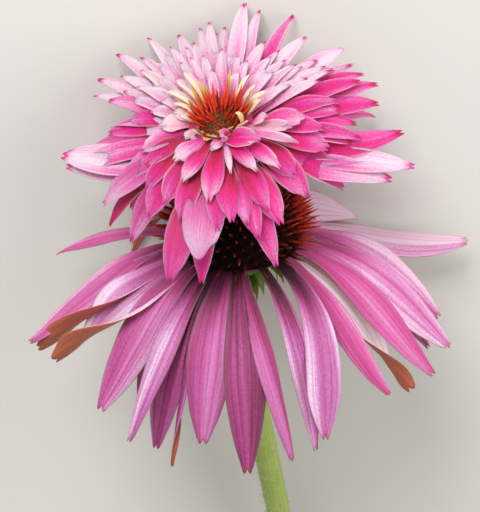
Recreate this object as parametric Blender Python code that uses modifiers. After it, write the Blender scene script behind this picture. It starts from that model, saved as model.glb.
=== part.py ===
"""Cut flowering stem of a purple coneflower with a double-decker bloom, lying on a flat surface.

A ring of long drooping rays hangs round a dark bristly cone. A second bloom, fully double, grows out
of the cone's top: layers of notched petals round a spiky disc with a collar of small florets.
The bloom's axis leans 8 degrees up from +Y, the surface is z = 0, and the rays that meet it lie along it.
Lengths are in millimetres in the tables and formulas, and turn into metres where a mesh is made.
"""
import math
from typing import NamedTuple

import bmesh
import bpy
import numpy as np
from mathutils import Matrix

MM = 0.001

# Driving dimensions, in millimetres and degrees
AXIS_TILT = 8.0
RING_CENTRE = np.array([-5.1, 80.7, 31.0])
RAY_ROOT_RADIUS = 12.0
RAY_SEAT_RADIUS = 14.0
RAY_SEAT_HEIGHT = 2.4
RAY_LAUNCH = -6.0
FURROWED_WIDTH = 9.2
FURROW_HEIGHT = 0.4
RAY_TIP_TOOTH = 1.6
SEEN_RAY_CLEARANCE = 1.2
BACK_RAY_AZIMUTHS = (124, 151, 164, 178, 192, 206, 220, 234, 247)
BACK_RAY_REACH = 49.0
BACK_RAY_DROP = 25.0
BACK_RAY_WIDTH = 9.0
GAP = 0.3
BLADE_THICKNESS = 0.7
PRESS_BEND = 3.0

CONE_RADIUS = 16.4
CONE_HEIGHT = 20.0
BRISTLE_LENGTH = 6.0
BRISTLE_RADIUS = 0.95
BRISTLE_COUNT = 128

BLOOM_HEIGHT = 25.0
BLOOM_FORWARD_TILT = 15.0
BLOOM_LEFT_TILT = 7.0
BOSS_RADIUS = 9.6
BOSS_TOP_RADIUS = 8.6
BOSS_HEIGHT = 10.5
NECK_RADIUS = 5.0
PETAL_ROOT_RADIUS = 7.8
PETAL_TIP_TOOTH = 1.0
STEEPEST_LAUNCH = 44.0
UNDER_PETAL_AZIMUTHS = (-152, -126, 126, 154, 181)
UNDER_PETAL_REACH = 46.0
UNDER_PETAL_DROP = 19.0
UNDER_PETAL_WIDTH = 7.5

DISC_RADIUS = 6.8
DISC_HEIGHT = 4.2
SPIKE_LENGTH = 3.0
SPIKE_RADIUS = 0.85
SPIKE_COUNT = 50
COLLAR_INNER = 7.1
COLLAR_OUTER = 8.4
COLLAR_HEIGHT = 1.2
FLORET_LAUNCH = 50.0
FLORET_THICKNESS = 0.6

CUP_HEIGHT = 7.5
CUP_RADIUS = 11.5
BRACT_WIDTH = 3.4
BRACTS_IN_ROW = 8

STEM_RADIUS = 3.3
STEM_STEPS = 20
# Handles of the stem's curve after its start under the cup, measured from the ring's centre
STEM_HANDLES = ((1.5, -60.0, -8.9), (30.0, -135.0, -28.4), (12.0, -210.0, -28.3))

# The view that the petals' tips were read from: focal length in pixels, millimetres for a pixel at
# the ring, the picture's middle, where the ring's centre shows, and how far the axis faces the viewer
VIEW_FOCAL_PX = 1706.7
VIEW_MM_PER_PX = 0.25
VIEW_MIDDLE_PX = (240.0, 256.0)
RING_CENTRE_PX = (236.0, 240.0)
VIEW_OVER_RING = 33.0

GOLDEN_ANGLE = math.pi * (3.0 - math.sqrt(5.0))
UP = np.array([0.0, 0.0, 1.0])


class Ray(NamedTuple):
    """A ray of the lower ring: where its tip shows, how far the tip drops, and its form."""

    tip_px: tuple
    drop: float
    width: float
    turn: float = 0.0
    fold: float = 0.25
    droop: float = 0.35


class Petal(NamedTuple):
    """A petal of the upper bloom: where its tip shows, its rise over the bloom's plane, its form."""

    tip_px: tuple
    rise: float
    width: float
    turn: float = 0.0
    fold: float = -0.15
    droop: float = 0.3


LOWER_RAYS = (
    Ray((29, 342), 25, 9.0, 25),
    Ray((34, 350), 21, 8.0, 70, 0.6),
    Ray((53, 360), 23, 8.5, 40, 0.4),
    Ray((99, 410), 27, 11.5),
    Ray((140, 420), 34, 8.0),
    Ray((129, 442), 30, 7.5, 15, 0.5),
    Ray((156, 449), 36, 7.5),
    Ray((172, 467), 39, 4.5, 0, 0.7),
    Ray((202, 444), 30, 12.5),
    Ray((248, 474), 34, 10.5),
    Ray((293, 461), 32, 7.5, -30, 0.5),
    Ray((316, 451), 35, 8.0),
    Ray((325, 440), 29, 9.5),
    Ray((393, 394), 33, 6.5, -30, 0.6),
    Ray((411, 391), 27, 8.0, -50, 0.6),
    Ray((434, 375), 24, 9.0),
    Ray((449, 348), 19, 9.5),
    Ray((429, 348), 28, 7.0),
    Ray((440, 317), 21, 8.5),
    Ray((468, 240), 10, 8.0, -20, 0.4),
    Ray((358, 222), 18, 8.0),
    Ray((57, 254), 14, 7.0, 30, 0.5),
)

UPPER_PETALS = (
    Petal((116, 54), 4, 5.5),
    Petal((140, 57), 7, 5.0),
    Petal((148, 38), 4, 5.0),
    Petal((169, 46), 7, 5.0),
    Petal((177, 34), 5, 5.0),
    Petal((195, 45), 9, 4.5),
    Petal((206, 22), 5, 6.0),
    Petal((213, 66), 12, 4.5),
    Petal((223, 28), 8, 5.0),
    Petal((245, 2), 4, 6.0),
    Petal((261, 8), 5, 4.5),
    Petal((249, 62), 12, 4.5),
    Petal((265, 41), 8, 5.0),
    Petal((294, 14), 4, 4.5, 40),
    Petal((304, 38), 5, 5.5),
    Petal((120, 76), 5, 5.5),
    Petal((140, 70), 8, 5.0),
    Petal((95, 90), 2, 7.0),
    Petal((131, 100), 6, 7.5),
    Petal((111, 131), 1, 5.5, -20),
    Petal((141, 134), 4, 5.5),
    Petal((157, 128), 8, 6.0),
    Petal((344, 48), 2, 6.0),
    Petal((337, 69), 5, 5.5),
    Petal((353, 64), 2, 5.0, 30),
    Petal((322, 80), 8, 5.5),
    Petal((362, 80), 1, 7.0),
    Petal((379, 87), -1, 6.0),
    Petal((379, 104), -2, 7.0),
    Petal((341, 106), 3, 6.5),
    Petal((308, 117), 7, 5.0),
    Petal((291, 83), 10, 4.5),
    Petal((402, 131), -5, 7.5),
    Petal((358, 140), -2, 6.0),
    Petal((330, 148), 1, 8.0),
    Petal((299, 143), 7, 4.0, 60),
    Petal((415, 167), -8, 7.5),
    Petal((392, 180), -9, 7.0),
    Petal((344, 189), -8, 8.5),
    Petal((308, 196), -3, 8.0),
    Petal((282, 225), -1, 7.5, 0, 0.1, 0.45),
    Petal((276, 268), -10, 7.0, 0, 0.1, 0.5),
    Petal((257, 239), -2, 7.0, 0, 0.1, 0.5),
    Petal((249, 226), 1, 5.5, 0, 0.1, 0.45),
    Petal((231, 224), 2, 7.0, 0, 0.1, 0.45),
    Petal((210, 203), 5, 5.5, 0, 0.1, 0.4),
    Petal((199, 259), -4, 9.0, 0, 0.15, 0.5),
    Petal((200, 284), -12, 6.0, 0, 0.1, 0.5),
    Petal((171, 283), -11, 8.5, 0, 0.15, 0.5),
    Petal((149, 219), -3, 7.5, 0, 0.1, 0.45),
    Petal((181, 182), 7, 4.5),
    Petal((173, 161), 8, 5.5),
    Petal((145, 191), 1, 5.5, 0, -0.1),
    Petal((103, 205), -5, 7.5, 0, 0.1, 0.4),
    Petal((62, 155), 0, 8.0),
    Petal((78, 172), -4, 6.5),
    Petal((144, 166), 3, 6.5),
    Petal((119, 185), -2, 6.5),
    Petal((109, 226), -12, 5.5, 0, 0.1, 0.5),
    Petal((133, 244), -12, 5.5, 20, 0.3, 0.5),
    Petal((262, 143), 15, 5.5, 0, -0.25),
    Petal((282, 168), 8, 4.5),
    Petal((252, 174), 9, 4.5),
)

# Small florets of the collar, by where their tips show and how high they stand
COLLAR_FLORETS = (
    Petal((166, 92), 13, 2.6),
    Petal((184, 72), 15, 2.4),
    Petal((198, 80), 16, 2.4),
    Petal((230, 70), 16, 2.6),
    Petal((251, 88), 17, 2.4),
    Petal((270, 90), 15, 2.6),
    Petal((276, 108), 15, 2.4),
    Petal((282, 124), 15, 2.6),
    Petal((230, 160), 15, 2.6),
    Petal((205, 150), 15, 2.4),
    Petal((184, 136), 14, 2.6),
    Petal((176, 114), 14, 2.4),
)

COLOURS = {
    "stem": (0.33, 0.42, 0.13, 1.0),
    "leaf": (0.10, 0.22, 0.06, 1.0),
    "involucre": (0.16, 0.28, 0.08, 1.0),
    "lower_ray": (0.60, 0.25, 0.38, 1.0),
    "cone": (0.05, 0.012, 0.010, 1.0),
    "upper_petal": (0.80, 0.25, 0.45, 1.0),
    "disc": (0.45, 0.05, 0.03, 1.0),
    "floret": (0.85, 0.62, 0.30, 1.0),
}


def unit(vector):
    """The vector at length one."""
    return vector / np.linalg.norm(vector)


def turned_about(vector, axis, degrees):
    """The vector turned about a unit axis."""
    angle = math.radians(degrees)
    along = axis * (axis @ vector) * (1.0 - math.cos(angle))
    return vector * math.cos(angle) + np.cross(axis, vector) * math.sin(angle) + along


class Frame:
    """A centre with an axis and the two directions square to it, front and right."""

    def __init__(self, centre, axis, front):
        self.centre = centre
        self.axis = unit(axis)
        self.front = unit(front - self.axis * (front @ self.axis))
        self.right = np.cross(self.axis, self.front)

    def outward(self, azimuth):
        """Direction away from the axis at an azimuth in degrees, 0 in front and 90 at the right."""
        angle = math.radians(azimuth)
        return self.right * math.sin(angle) + self.front * math.cos(angle)

    def point(self, azimuth, radius, height):
        """Point at a radius from the axis and a height along it."""
        return self.centre + self.outward(azimuth) * radius + self.axis * height

    def measure(self, points):
        """Azimuth in degrees, radius and height of each point."""
        offset = points - self.centre
        across = offset @ self.right
        ahead = offset @ self.front
        return np.degrees(np.arctan2(across, ahead)), np.hypot(across, ahead), offset @ self.axis


def ring_frame():
    """Frame of the lower ring and the cone."""
    tilt = math.radians(AXIS_TILT)
    axis = np.array([0.0, math.cos(tilt), math.sin(tilt)])
    front = np.array([0.0, -math.sin(tilt), math.cos(tilt)])
    return Frame(RING_CENTRE, axis, front)


def bloom_frame():
    """Frame of the upper bloom, which leans forward and to the left on top of the cone."""
    forward = math.radians(BLOOM_FORWARD_TILT)
    leftward = math.tan(math.radians(BLOOM_LEFT_TILT))
    axis = RING.axis * math.cos(forward) + RING.front * math.sin(forward) - RING.right * leftward
    return Frame(RING.centre + RING.axis * BLOOM_HEIGHT, axis, RING.front)


RING = ring_frame()
BLOOM = bloom_frame()


def seen_on_plane(pixel, frame, height):
    """Point that shows at a pixel and lies at a height over a frame's plane."""
    over = math.radians(VIEW_OVER_RING)
    toward = RING.front * math.cos(over) + RING.axis * math.sin(over)
    upward = RING.axis * math.cos(over) - RING.front * math.sin(over)
    right_px = RING_CENTRE_PX[0] - VIEW_MIDDLE_PX[0]
    down_px = RING_CENTRE_PX[1] - VIEW_MIDDLE_PX[1]
    middle = RING.centre - (RING.right * right_px - upward * down_px) * VIEW_MM_PER_PX
    eye = middle + toward * VIEW_FOCAL_PX * VIEW_MM_PER_PX
    sight = RING.right * (pixel[0] - VIEW_MIDDLE_PX[0]) - upward * (pixel[1] - VIEW_MIDDLE_PX[1])
    sight = sight - toward * VIEW_FOCAL_PX
    reach = (height + frame.axis @ (frame.centre - eye)) / (frame.axis @ sight)
    return eye + sight * reach


def bezier(points, steps):
    """Points along a cubic Bezier and its unit tangents."""
    t = np.linspace(0.0, 1.0, steps + 1)[:, None]
    a, b, c, d = points
    line = a * (1 - t) ** 3 + 3 * b * t * (1 - t) ** 2 + 3 * c * t ** 2 * (1 - t) + d * t ** 3
    slope = (b - a) * (1 - t) ** 2 + 2 * (c - b) * t * (1 - t) + (d - c) * t ** 2
    return line, slope / np.linalg.norm(slope, axis=1, keepdims=True)


class Blade(NamedTuple):
    """A petal-like blade: the four points of its centre line, and its form."""

    curve: tuple
    side: np.ndarray
    width: float
    claw: float = 0.3
    end: float = 0.35
    fold: float = 0.2
    turn: float = 0.0
    ridge: float = 0.0
    notch: float = 1.2
    belly: float = 0.55
    stations: int = 4
    columns: int = 2


def blade_grid(blade):
    """Grid of points of a blade's middle surface, from its root to its notched tip."""
    line, tangents = bezier(blade.curve, blade.stations)
    across = np.linspace(-1.0, 1.0, blade.columns + 1)
    grid = np.zeros((blade.stations + 1, blade.columns + 1, 3))
    for row, (centre, tangent) in enumerate(zip(line, tangents)):
        u = row / blade.stations
        side = unit(blade.side - tangent * (blade.side @ tangent))
        side = turned_about(side, tangent, blade.turn * u ** 1.5)
        face = np.cross(tangent, side)
        swell = math.sin(min(u / blade.belly, 1.0) * math.pi / 2.0)
        taper = 1.0 - blade.end * max(0.0, (u - blade.belly) / (1.0 - blade.belly)) ** 2
        half = 0.5 * blade.width * (blade.claw + (1.0 - blade.claw) * swell) * taper
        for column, v in enumerate(across):
            rib = blade.ridge * math.sin(math.pi * abs(v)) * swell
            lift = rib - blade.fold * half * v * v
            grid[row, column] = centre + side * half * v + face * lift
        if row == blade.stations:
            grid[row] += tangent[None, :] * (tip_teeth(across) * blade.notch)[:, None]
    return grid


def tip_teeth(across):
    """Set-back of the tip's points: a notch in the middle and rounded corners, two teeth between."""
    middle = -np.exp(-((across / 0.3) ** 2))
    corners = -np.clip((np.abs(across) - 0.55) / 0.45, 0.0, 1.0)
    return middle + corners * (len(across) > 3)


def pressed(points, floor):
    """Points held at or above a floor height, with a soft bend where they meet it."""
    height = points[..., 2]
    blend = np.clip(PRESS_BEND - np.abs(height - floor), 0.0, None) / PRESS_BEND
    raised = np.maximum(height, floor) + blend ** 2 * PRESS_BEND / 4.0
    result = points.copy()
    result[..., 2] = raised
    return result


def kept_off_cone(points):
    """Points pushed away from the axis where they would touch the cone's bristles."""
    azimuth, radius, height = RING.measure(points)
    edge = CONE_RADIUS + BRISTLE_LENGTH + 1.6
    keep = np.interp(height, (2.0, 12.0, 18.0, 21.5, 23.0), (edge, edge, 18.5, 12.5, 0.0))
    push = np.clip(keep - radius, 0.0, None)
    angle = np.radians(azimuth)
    outward = np.sin(angle)[..., None] * RING.right + np.cos(angle)[..., None] * RING.front
    return points + outward * push[..., None]


def grid_faces(rows, columns):
    """Triangles of a grid, cut along the same diagonal all over."""
    faces = []
    for row in range(rows - 1):
        for column in range(columns - 1):
            a = row * columns + column
            b = a + columns
            faces.append((a, b, b + 1))
            faces.append((a, b + 1, a + 1))
    return faces


def new_object(name, mesh, collection, colour=None):
    """Object of a mesh in a collection, with a plain finish if a colour is named."""
    thing = bpy.data.objects.new(name, mesh)
    collection.objects.link(thing)
    if colour is not None:
        finish = bpy.data.materials.get(colour) or bpy.data.materials.new(colour)
        finish.use_nodes = True
        shader = finish.node_tree.nodes["Principled BSDF"]
        shader.inputs["Base Color"].default_value = COLOURS[colour]
        shader.inputs["Roughness"].default_value = 0.6
        shader.inputs["Metallic"].default_value = 0.0
        mesh.materials.append(finish)
    return thing


def sheet_object(name, grid, collection, colour=None, thickness=BLADE_THICKNESS):
    """Object of a thin blade: its middle surface with a Solidify modifier."""
    mesh = bpy.data.meshes.new(name)
    points = (grid.reshape(-1, 3) * MM).tolist()
    mesh.from_pydata(points, [], grid_faces(grid.shape[0], grid.shape[1]))
    blade = new_object(name, mesh, collection, colour)
    solid = blade.modifiers.new("thickness", "SOLIDIFY")
    solid.thickness = thickness * MM
    solid.offset = 0.0
    solid.use_even_offset = False
    return blade


def turned_object(name, profile, frame, sides, collection, closed=False):
    """Object of a profile of radius and height, turned about a frame's axis by a Screw modifier."""
    mesh = bpy.data.meshes.new(name)
    points = [(radius * MM, 0.0, height * MM) for radius, height in profile]
    edges = [(index, index + 1) for index in range(len(points) - 1)]
    if closed:
        edges.append((len(points) - 1, 0))
    mesh.from_pydata(points, edges, [])
    thing = new_object(name, mesh, collection)
    screw = thing.modifiers.new("turn", "SCREW")
    screw.steps = sides
    screw.render_steps = sides
    screw.use_merge_vertices = True
    screw.merge_threshold = 0.00005
    place(thing, frame, frame.centre)
    return thing


def place(thing, frame, centre):
    """Put an object's origin at a centre, with its Z axis along a frame's axis."""
    matrix = np.eye(4)
    matrix[:3, 0] = frame.right
    matrix[:3, 1] = -frame.front
    matrix[:3, 2] = frame.axis
    matrix[:3, 3] = centre * MM
    thing.matrix_world = Matrix(matrix.tolist())
    return thing


def needle_object(name, root, tip, radius, collection):
    """Three-sided pointed needle from a root to a tip."""
    axis = tip - root
    length = float(np.linalg.norm(axis))
    mesh = bpy.data.meshes.new(name)
    shape = bmesh.new()
    bmesh.ops.create_cone(
        shape, cap_ends=True, segments=3, radius1=radius * MM, radius2=0.0, depth=length * MM
    )
    bmesh.ops.translate(shape, verts=shape.verts, vec=(0.0, 0.0, 0.5 * length * MM))
    shape.to_mesh(mesh)
    shape.free()
    helper = Frame(root, axis, np.array([0.3, 0.2, 1.0]))
    return place(new_object(name, mesh, collection), helper, root)


def fused(name, core, helpers, collection, colour):
    """One closed body from a core and a collection of pieces that grow from it."""
    union = core.modifiers.new("grow together", "BOOLEAN")
    union.operation = "UNION"
    union.operand_type = "COLLECTION"
    union.collection = helpers
    union.solver = "MANIFOLD"
    bpy.context.view_layer.update()
    evaluated = core.evaluated_get(bpy.context.evaluated_depsgraph_get())
    mesh = bpy.data.meshes.new_from_object(evaluated)
    mesh.transform(core.matrix_world)
    mesh.name = name
    mesh.materials.clear()
    for piece in list(helpers.objects):
        bpy.data.objects.remove(piece)
    bpy.data.objects.remove(core)
    bpy.data.collections.remove(helpers)
    keep_largest_shell(mesh)
    return new_object(name, mesh, collection, colour)


def keep_largest_shell(mesh):
    """Drop loose scraps and the walls of hollows that the union sealed, which fills them."""
    shape = bmesh.new()
    shape.from_mesh(mesh)
    bmesh.ops.triangulate(shape, faces=shape.faces)
    drop_fins(shape)
    unseen = set(shape.verts)
    shells = []
    while unseen:
        front = [unseen.pop()]
        shell = set(front)
        while front:
            for edge in front.pop().link_edges:
                for vert in edge.verts:
                    if vert in unseen:
                        unseen.discard(vert)
                        shell.add(vert)
                        front.append(vert)
        shells.append(shell)
    shells.sort(key=len, reverse=True)
    for shell in shells[1:]:
        bmesh.ops.delete(shape, geom=list(shell), context="VERTS")
    shape.to_mesh(mesh)
    shape.free()


def drop_fins(shape):
    """Remove pairs of triangles that lie back to back on the same three points."""
    seen = {}
    for face in shape.faces:
        seen.setdefault(frozenset(vert.index for vert in face.verts), []).append(face)
    fins = [face for faces in seen.values() if len(faces) > 1 for face in faces]
    bmesh.ops.delete(shape, geom=fins, context="FACES")
    loose = [edge for edge in shape.edges if not edge.link_faces]
    bmesh.ops.delete(shape, geom=loose, context="EDGES")


def helper_collection(name):
    """Collection for pieces that are fused and removed."""
    helpers = bpy.data.collections.new(name)
    bpy.context.scene.collection.children.link(helpers)
    return helpers


def ray_curve(frame, root_radius, root_height, launch, tip, droop):
    """Centre line of a petal: it leaves the axis at the launch angle and arches over to its tip."""
    azimuth = float(frame.measure(tip)[0])
    root = frame.point(azimuth, root_radius, root_height)
    length = float(np.linalg.norm(tip - root))
    angle = math.radians(launch)
    start = frame.outward(azimuth) * math.cos(angle) + frame.axis * math.sin(angle)
    shoulder = root + start * 0.38 * length
    finish = unit(unit(tip - shoulder) - frame.axis * droop)
    return (root, shoulder, tip - finish * 0.34 * length, tip), azimuth


def lower_ray_grid(tip, width, turn, fold, droop, floor):
    """Middle surface of one ray of the lower ring."""
    curve, azimuth = ray_curve(RING, RAY_ROOT_RADIUS, 0.0, RAY_LAUNCH, tip, droop)
    side = np.cross(RING.axis, RING.outward(azimuth))
    columns = 4 if width > FURROWED_WIDTH else 2
    blade = Blade(
        curve, side, width, claw=0.24, end=0.62, fold=fold, turn=turn, ridge=FURROW_HEIGHT,
        notch=RAY_TIP_TOOTH, stations=5, columns=columns,
    )
    return pressed(blade_grid(blade), floor)


def build_lower_rays(collection):
    """The ring of drooping rays, grown together with the seat that carries them."""
    helpers = helper_collection("lower ray pieces")
    rest = 0.5 * BLADE_THICKNESS
    for index, row in enumerate(LOWER_RAYS):
        tip = seen_on_plane(row.tip_px, RING, -row.drop)
        floor = rest + SEEN_RAY_CLEARANCE
        grid = lower_ray_grid(tip, row.width, row.turn, row.fold, row.droop, floor)
        sheet_object(f"ray_{index}", grid, helpers)
    for index, azimuth in enumerate(BACK_RAY_AZIMUTHS):
        under = index % 2
        reach = BACK_RAY_REACH - 3.0 * (index % 3)
        tip = RING.point(azimuth, reach, -BACK_RAY_DROP - 3.0 * under)
        floor = rest if under else rest + 1.0
        grid = lower_ray_grid(tip, BACK_RAY_WIDTH, 0.0, 0.1, 0.35, floor)
        sheet_object(f"back_ray_{index}", grid, helpers)
    half = 0.5 * RAY_SEAT_HEIGHT
    profile = ((0.0, half), (RAY_SEAT_RADIUS, half), (RAY_SEAT_RADIUS, -half), (0.0, -half))
    seat = turned_object("ray_seat", profile, RING, 32, collection)
    return fused("lower_rays", seat, helpers, collection, "lower_ray")


def dome_point(frame, radius, height, base, fraction, turn):
    """Point and outward direction on a half-ellipsoid dome, by fraction of the way to its top."""
    rise = math.asin(fraction)
    around = frame.outward(turn)
    point = frame.centre + around * radius * math.cos(rise) + frame.axis * (base + height * fraction)
    normal = unit(around * math.cos(rise) / radius + frame.axis * fraction / height)
    return point, normal


def dome_profile(radius, height, base, steps):
    """Profile of a half-ellipsoid dome on a flat base, from its top down its outer side."""
    profile = []
    for step in range(steps + 1):
        angle = math.pi / 2.0 * (1.0 - step / steps)
        profile.append((radius * math.cos(angle), base + height * math.sin(angle)))
    profile[0] = (0.0, base + height)
    profile.append((0.0, base))
    return profile


def build_cone(collection):
    """The dark cone with its stiff bristles, which point outward and a little up."""
    helpers = helper_collection("bristles")
    base = 0.5 * RAY_SEAT_HEIGHT + GAP
    for index in range(BRISTLE_COUNT):
        fraction = 0.06 + 0.74 * (index + 0.5) / BRISTLE_COUNT
        azimuth = math.degrees(GOLDEN_ANGLE * index)
        foot, normal = dome_point(RING, CONE_RADIUS, CONE_HEIGHT, base, fraction, azimuth)
        length = BRISTLE_LENGTH * (1.0 - 0.45 * fraction)
        lean = unit(normal + RING.axis * 0.15)
        root = foot - normal * 1.2
        needle_object(f"bristle_{index}", root, foot + lean * length, BRISTLE_RADIUS, helpers)
    profile = dome_profile(CONE_RADIUS, CONE_HEIGHT, base, 7)
    core = turned_object("cone_core", profile, RING, 24, collection)
    return fused("cone", core, helpers, collection, "cone")


def petal_grid(tip, width, turn, fold, droop, floor):
    """Middle surface of one petal of the upper bloom, rooted higher the steeper it stands."""
    radius, height = BLOOM.measure(tip)[1:]
    stand = math.degrees(math.atan2(height - 4.0, radius))
    root_height = min(max(3.5 + 0.22 * stand, 1.5), BOSS_HEIGHT - 2.2)
    launch = min(max(15.0 + 1.6 * stand, -5.0), STEEPEST_LAUNCH)
    curve, azimuth = ray_curve(BLOOM, PETAL_ROOT_RADIUS, root_height, launch, tip, droop)
    side = np.cross(BLOOM.axis, BLOOM.outward(azimuth))
    blade = Blade(
        curve, side, width, claw=0.28, end=0.6, fold=fold, turn=turn, notch=PETAL_TIP_TOOTH, belly=0.6
    )
    return pressed(kept_off_cone(blade_grid(blade)), floor)


def build_upper_rays(collection):
    """The upper bloom's petals, grown together with the boss and the neck that carry them."""
    helpers = helper_collection("upper petal pieces")
    rest = 0.5 * BLADE_THICKNESS
    for index, row in enumerate(UPPER_PETALS):
        tip = seen_on_plane(row.tip_px, BLOOM, row.rise)
        grid = petal_grid(tip, row.width, row.turn, row.fold, row.droop, rest)
        sheet_object(f"petal_{index}", grid, helpers)
    for index, azimuth in enumerate(UNDER_PETAL_AZIMUTHS):
        tip = BLOOM.point(azimuth, UNDER_PETAL_REACH, -UNDER_PETAL_DROP)
        grid = petal_grid(tip, UNDER_PETAL_WIDTH, 0.0, 0.1, 0.35, rest)
        sheet_object(f"under_petal_{index}", grid, helpers)
    below = GAP + CONE_HEIGHT + 0.5 * RAY_SEAT_HEIGHT + GAP - BLOOM_HEIGHT
    neck_profile = ((0.0, 3.0), (NECK_RADIUS, 3.0), (NECK_RADIUS, below), (0.0, below))
    neck_frame = Frame(BLOOM.centre, RING.axis, RING.front)
    turned_object("neck", neck_profile, neck_frame, 16, helpers)
    profile = (
        (0.0, BOSS_HEIGHT), (BOSS_TOP_RADIUS, BOSS_HEIGHT), (BOSS_RADIUS, 6.0), (BOSS_RADIUS, 2.0),
        (NECK_RADIUS, 0.0), (0.0, 0.0),
    )
    boss = turned_object("boss", profile, BLOOM, 24, collection)
    return fused("upper_rays", boss, helpers, collection, "upper_petal")


def build_disc(collection):
    """The upper bloom's domed disc, covered in short red spikes."""
    helpers = helper_collection("spikes")
    base = BOSS_HEIGHT + GAP
    for index in range(SPIKE_COUNT):
        fraction = 0.36 + 0.62 * (index + 0.5) / SPIKE_COUNT
        azimuth = math.degrees(GOLDEN_ANGLE * index)
        foot, normal = dome_point(BLOOM, DISC_RADIUS, DISC_HEIGHT, base, fraction, azimuth)
        lean = unit(normal + BLOOM.axis * 1.2)
        root = foot - normal * 0.8
        needle_object(f"spike_{index}", root, foot + lean * SPIKE_LENGTH, SPIKE_RADIUS, helpers)
    profile = dome_profile(DISC_RADIUS - 0.6, DISC_HEIGHT, base, 4)
    core = turned_object("disc_core", profile, BLOOM, 20, collection)
    return fused("disc", core, helpers, collection, "disc")


def build_collar(collection):
    """The collar of small cream florets round the disc."""
    helpers = helper_collection("florets")
    base = BOSS_HEIGHT + GAP
    middle = 0.5 * (COLLAR_INNER + COLLAR_OUTER)
    for index, row in enumerate(COLLAR_FLORETS):
        tip = seen_on_plane(row.tip_px, BLOOM, row.rise)
        curve, azimuth = ray_curve(BLOOM, middle, base + 0.6, FLORET_LAUNCH, tip, 0.2)
        side = np.cross(BLOOM.axis, BLOOM.outward(azimuth))
        blade = Blade(curve, side, row.width, claw=0.6, end=0.2, fold=-0.3, notch=0.5, stations=3)
        sheet_object(f"floret_{index}", blade_grid(blade), helpers, thickness=FLORET_THICKNESS)
    top = base + COLLAR_HEIGHT
    profile = ((COLLAR_INNER, top), (COLLAR_OUTER, top), (COLLAR_OUTER, base), (COLLAR_INNER, base))
    core = turned_object("collar_core", profile, BLOOM, 24, collection, closed=True)
    return fused("disc_florets", core, helpers, collection, "floret")


def build_involucre(collection):
    """The green cup under the rays, with two rows of narrow bracts bent back toward the stem."""
    helpers = helper_collection("bracts")
    top = -0.5 * RAY_SEAT_HEIGHT - GAP
    for row in range(2):
        for index in range(BRACTS_IN_ROW):
            azimuth = 360.0 / BRACTS_IN_ROW * (index + 0.5 * row)
            root = RING.point(azimuth, 8.2 - 1.6 * row, top - 1.9 - 2.0 * row)
            tip = RING.point(azimuth, 15.0 - 2.5 * row, top - 7.0 - 2.6 * row)
            shoulder = RING.point(azimuth, 12.6 - 1.5 * row, top - 2.2 - 2.0 * row)
            curve = (root, root + (shoulder - root) * 0.6, shoulder, tip)
            side = np.cross(RING.axis, RING.outward(azimuth))
            blade = Blade(curve, side, BRACT_WIDTH, claw=0.8, end=0.85, fold=0.3, notch=0.0, stations=2)
            sheet_object(f"bract_{row}_{index}", blade_grid(blade), helpers)
    profile = (
        (0.0, top), (CUP_RADIUS, top), (CUP_RADIUS - 1.0, top - 2.6), (STEM_RADIUS + 1.4, top - 5.6),
        (STEM_RADIUS + 0.3, top - CUP_HEIGHT), (0.0, top - CUP_HEIGHT),
    )
    core = turned_object("cup", profile, RING, 24, collection)
    return fused("involucre", core, helpers, collection, "involucre")


def stem_points(steps):
    """Points along the stem, from under the cup to its cut end."""
    start = -0.5 * RAY_SEAT_HEIGHT - 2.0 * GAP - CUP_HEIGHT
    handles = [RING.centre + RING.axis * start]
    for handle in STEM_HANDLES:
        handles.append(RING.centre + np.array(handle))
    return bezier(handles, steps)


def build_stem(collection):
    """The stem: a round bar that bends down to the surface and lies along it to its cut end."""
    line = stem_points(STEM_STEPS)[0]
    curve = bpy.data.curves.new("stem_line", "CURVE")
    curve.dimensions = "3D"
    curve.bevel_depth = STEM_RADIUS * MM
    curve.bevel_resolution = 4
    curve.use_fill_caps = True
    spline = curve.splines.new("POLY")
    spline.points.add(len(line) - 1)
    for point, centre in zip(spline.points, line):
        point.co = (*(centre * MM), 1.0)
    bar = bpy.data.objects.new("stem_line", curve)
    collection.objects.link(bar)
    bpy.context.view_layer.update()
    evaluated = bar.evaluated_get(bpy.context.evaluated_depsgraph_get())
    mesh = bpy.data.meshes.new_from_object(evaluated)
    bpy.data.objects.remove(bar)
    mesh.name = "stem"
    shape = bmesh.new()
    shape.from_mesh(mesh)
    bmesh.ops.remove_doubles(shape, verts=shape.verts, dist=0.00005)
    for vert in shape.verts:
        vert.co.z = max(vert.co.z, 0.0)
    shape.to_mesh(mesh)
    shape.free()
    return new_object("stem", mesh, collection, "stem")


class Leaf(NamedTuple):
    """A stem leaf: how far along the stem it grows, its side, its size and where it points."""

    name: str
    along: float
    side: float
    length: float
    width: float
    spread: float
    arch: float


LEAVES = (
    Leaf("leaf_upper", 0.66, 1.0, 36.0, 11.0, 50.0, 8.0),
    Leaf("leaf_middle", 0.77, -1.0, 50.0, 16.0, 50.0, 11.0),
    Leaf("leaf_lower", 0.89, 1.0, 54.0, 19.0, 44.0, 11.0),
)
LEAF_ROWS = 11
LEAF_COLUMNS = 5


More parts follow.
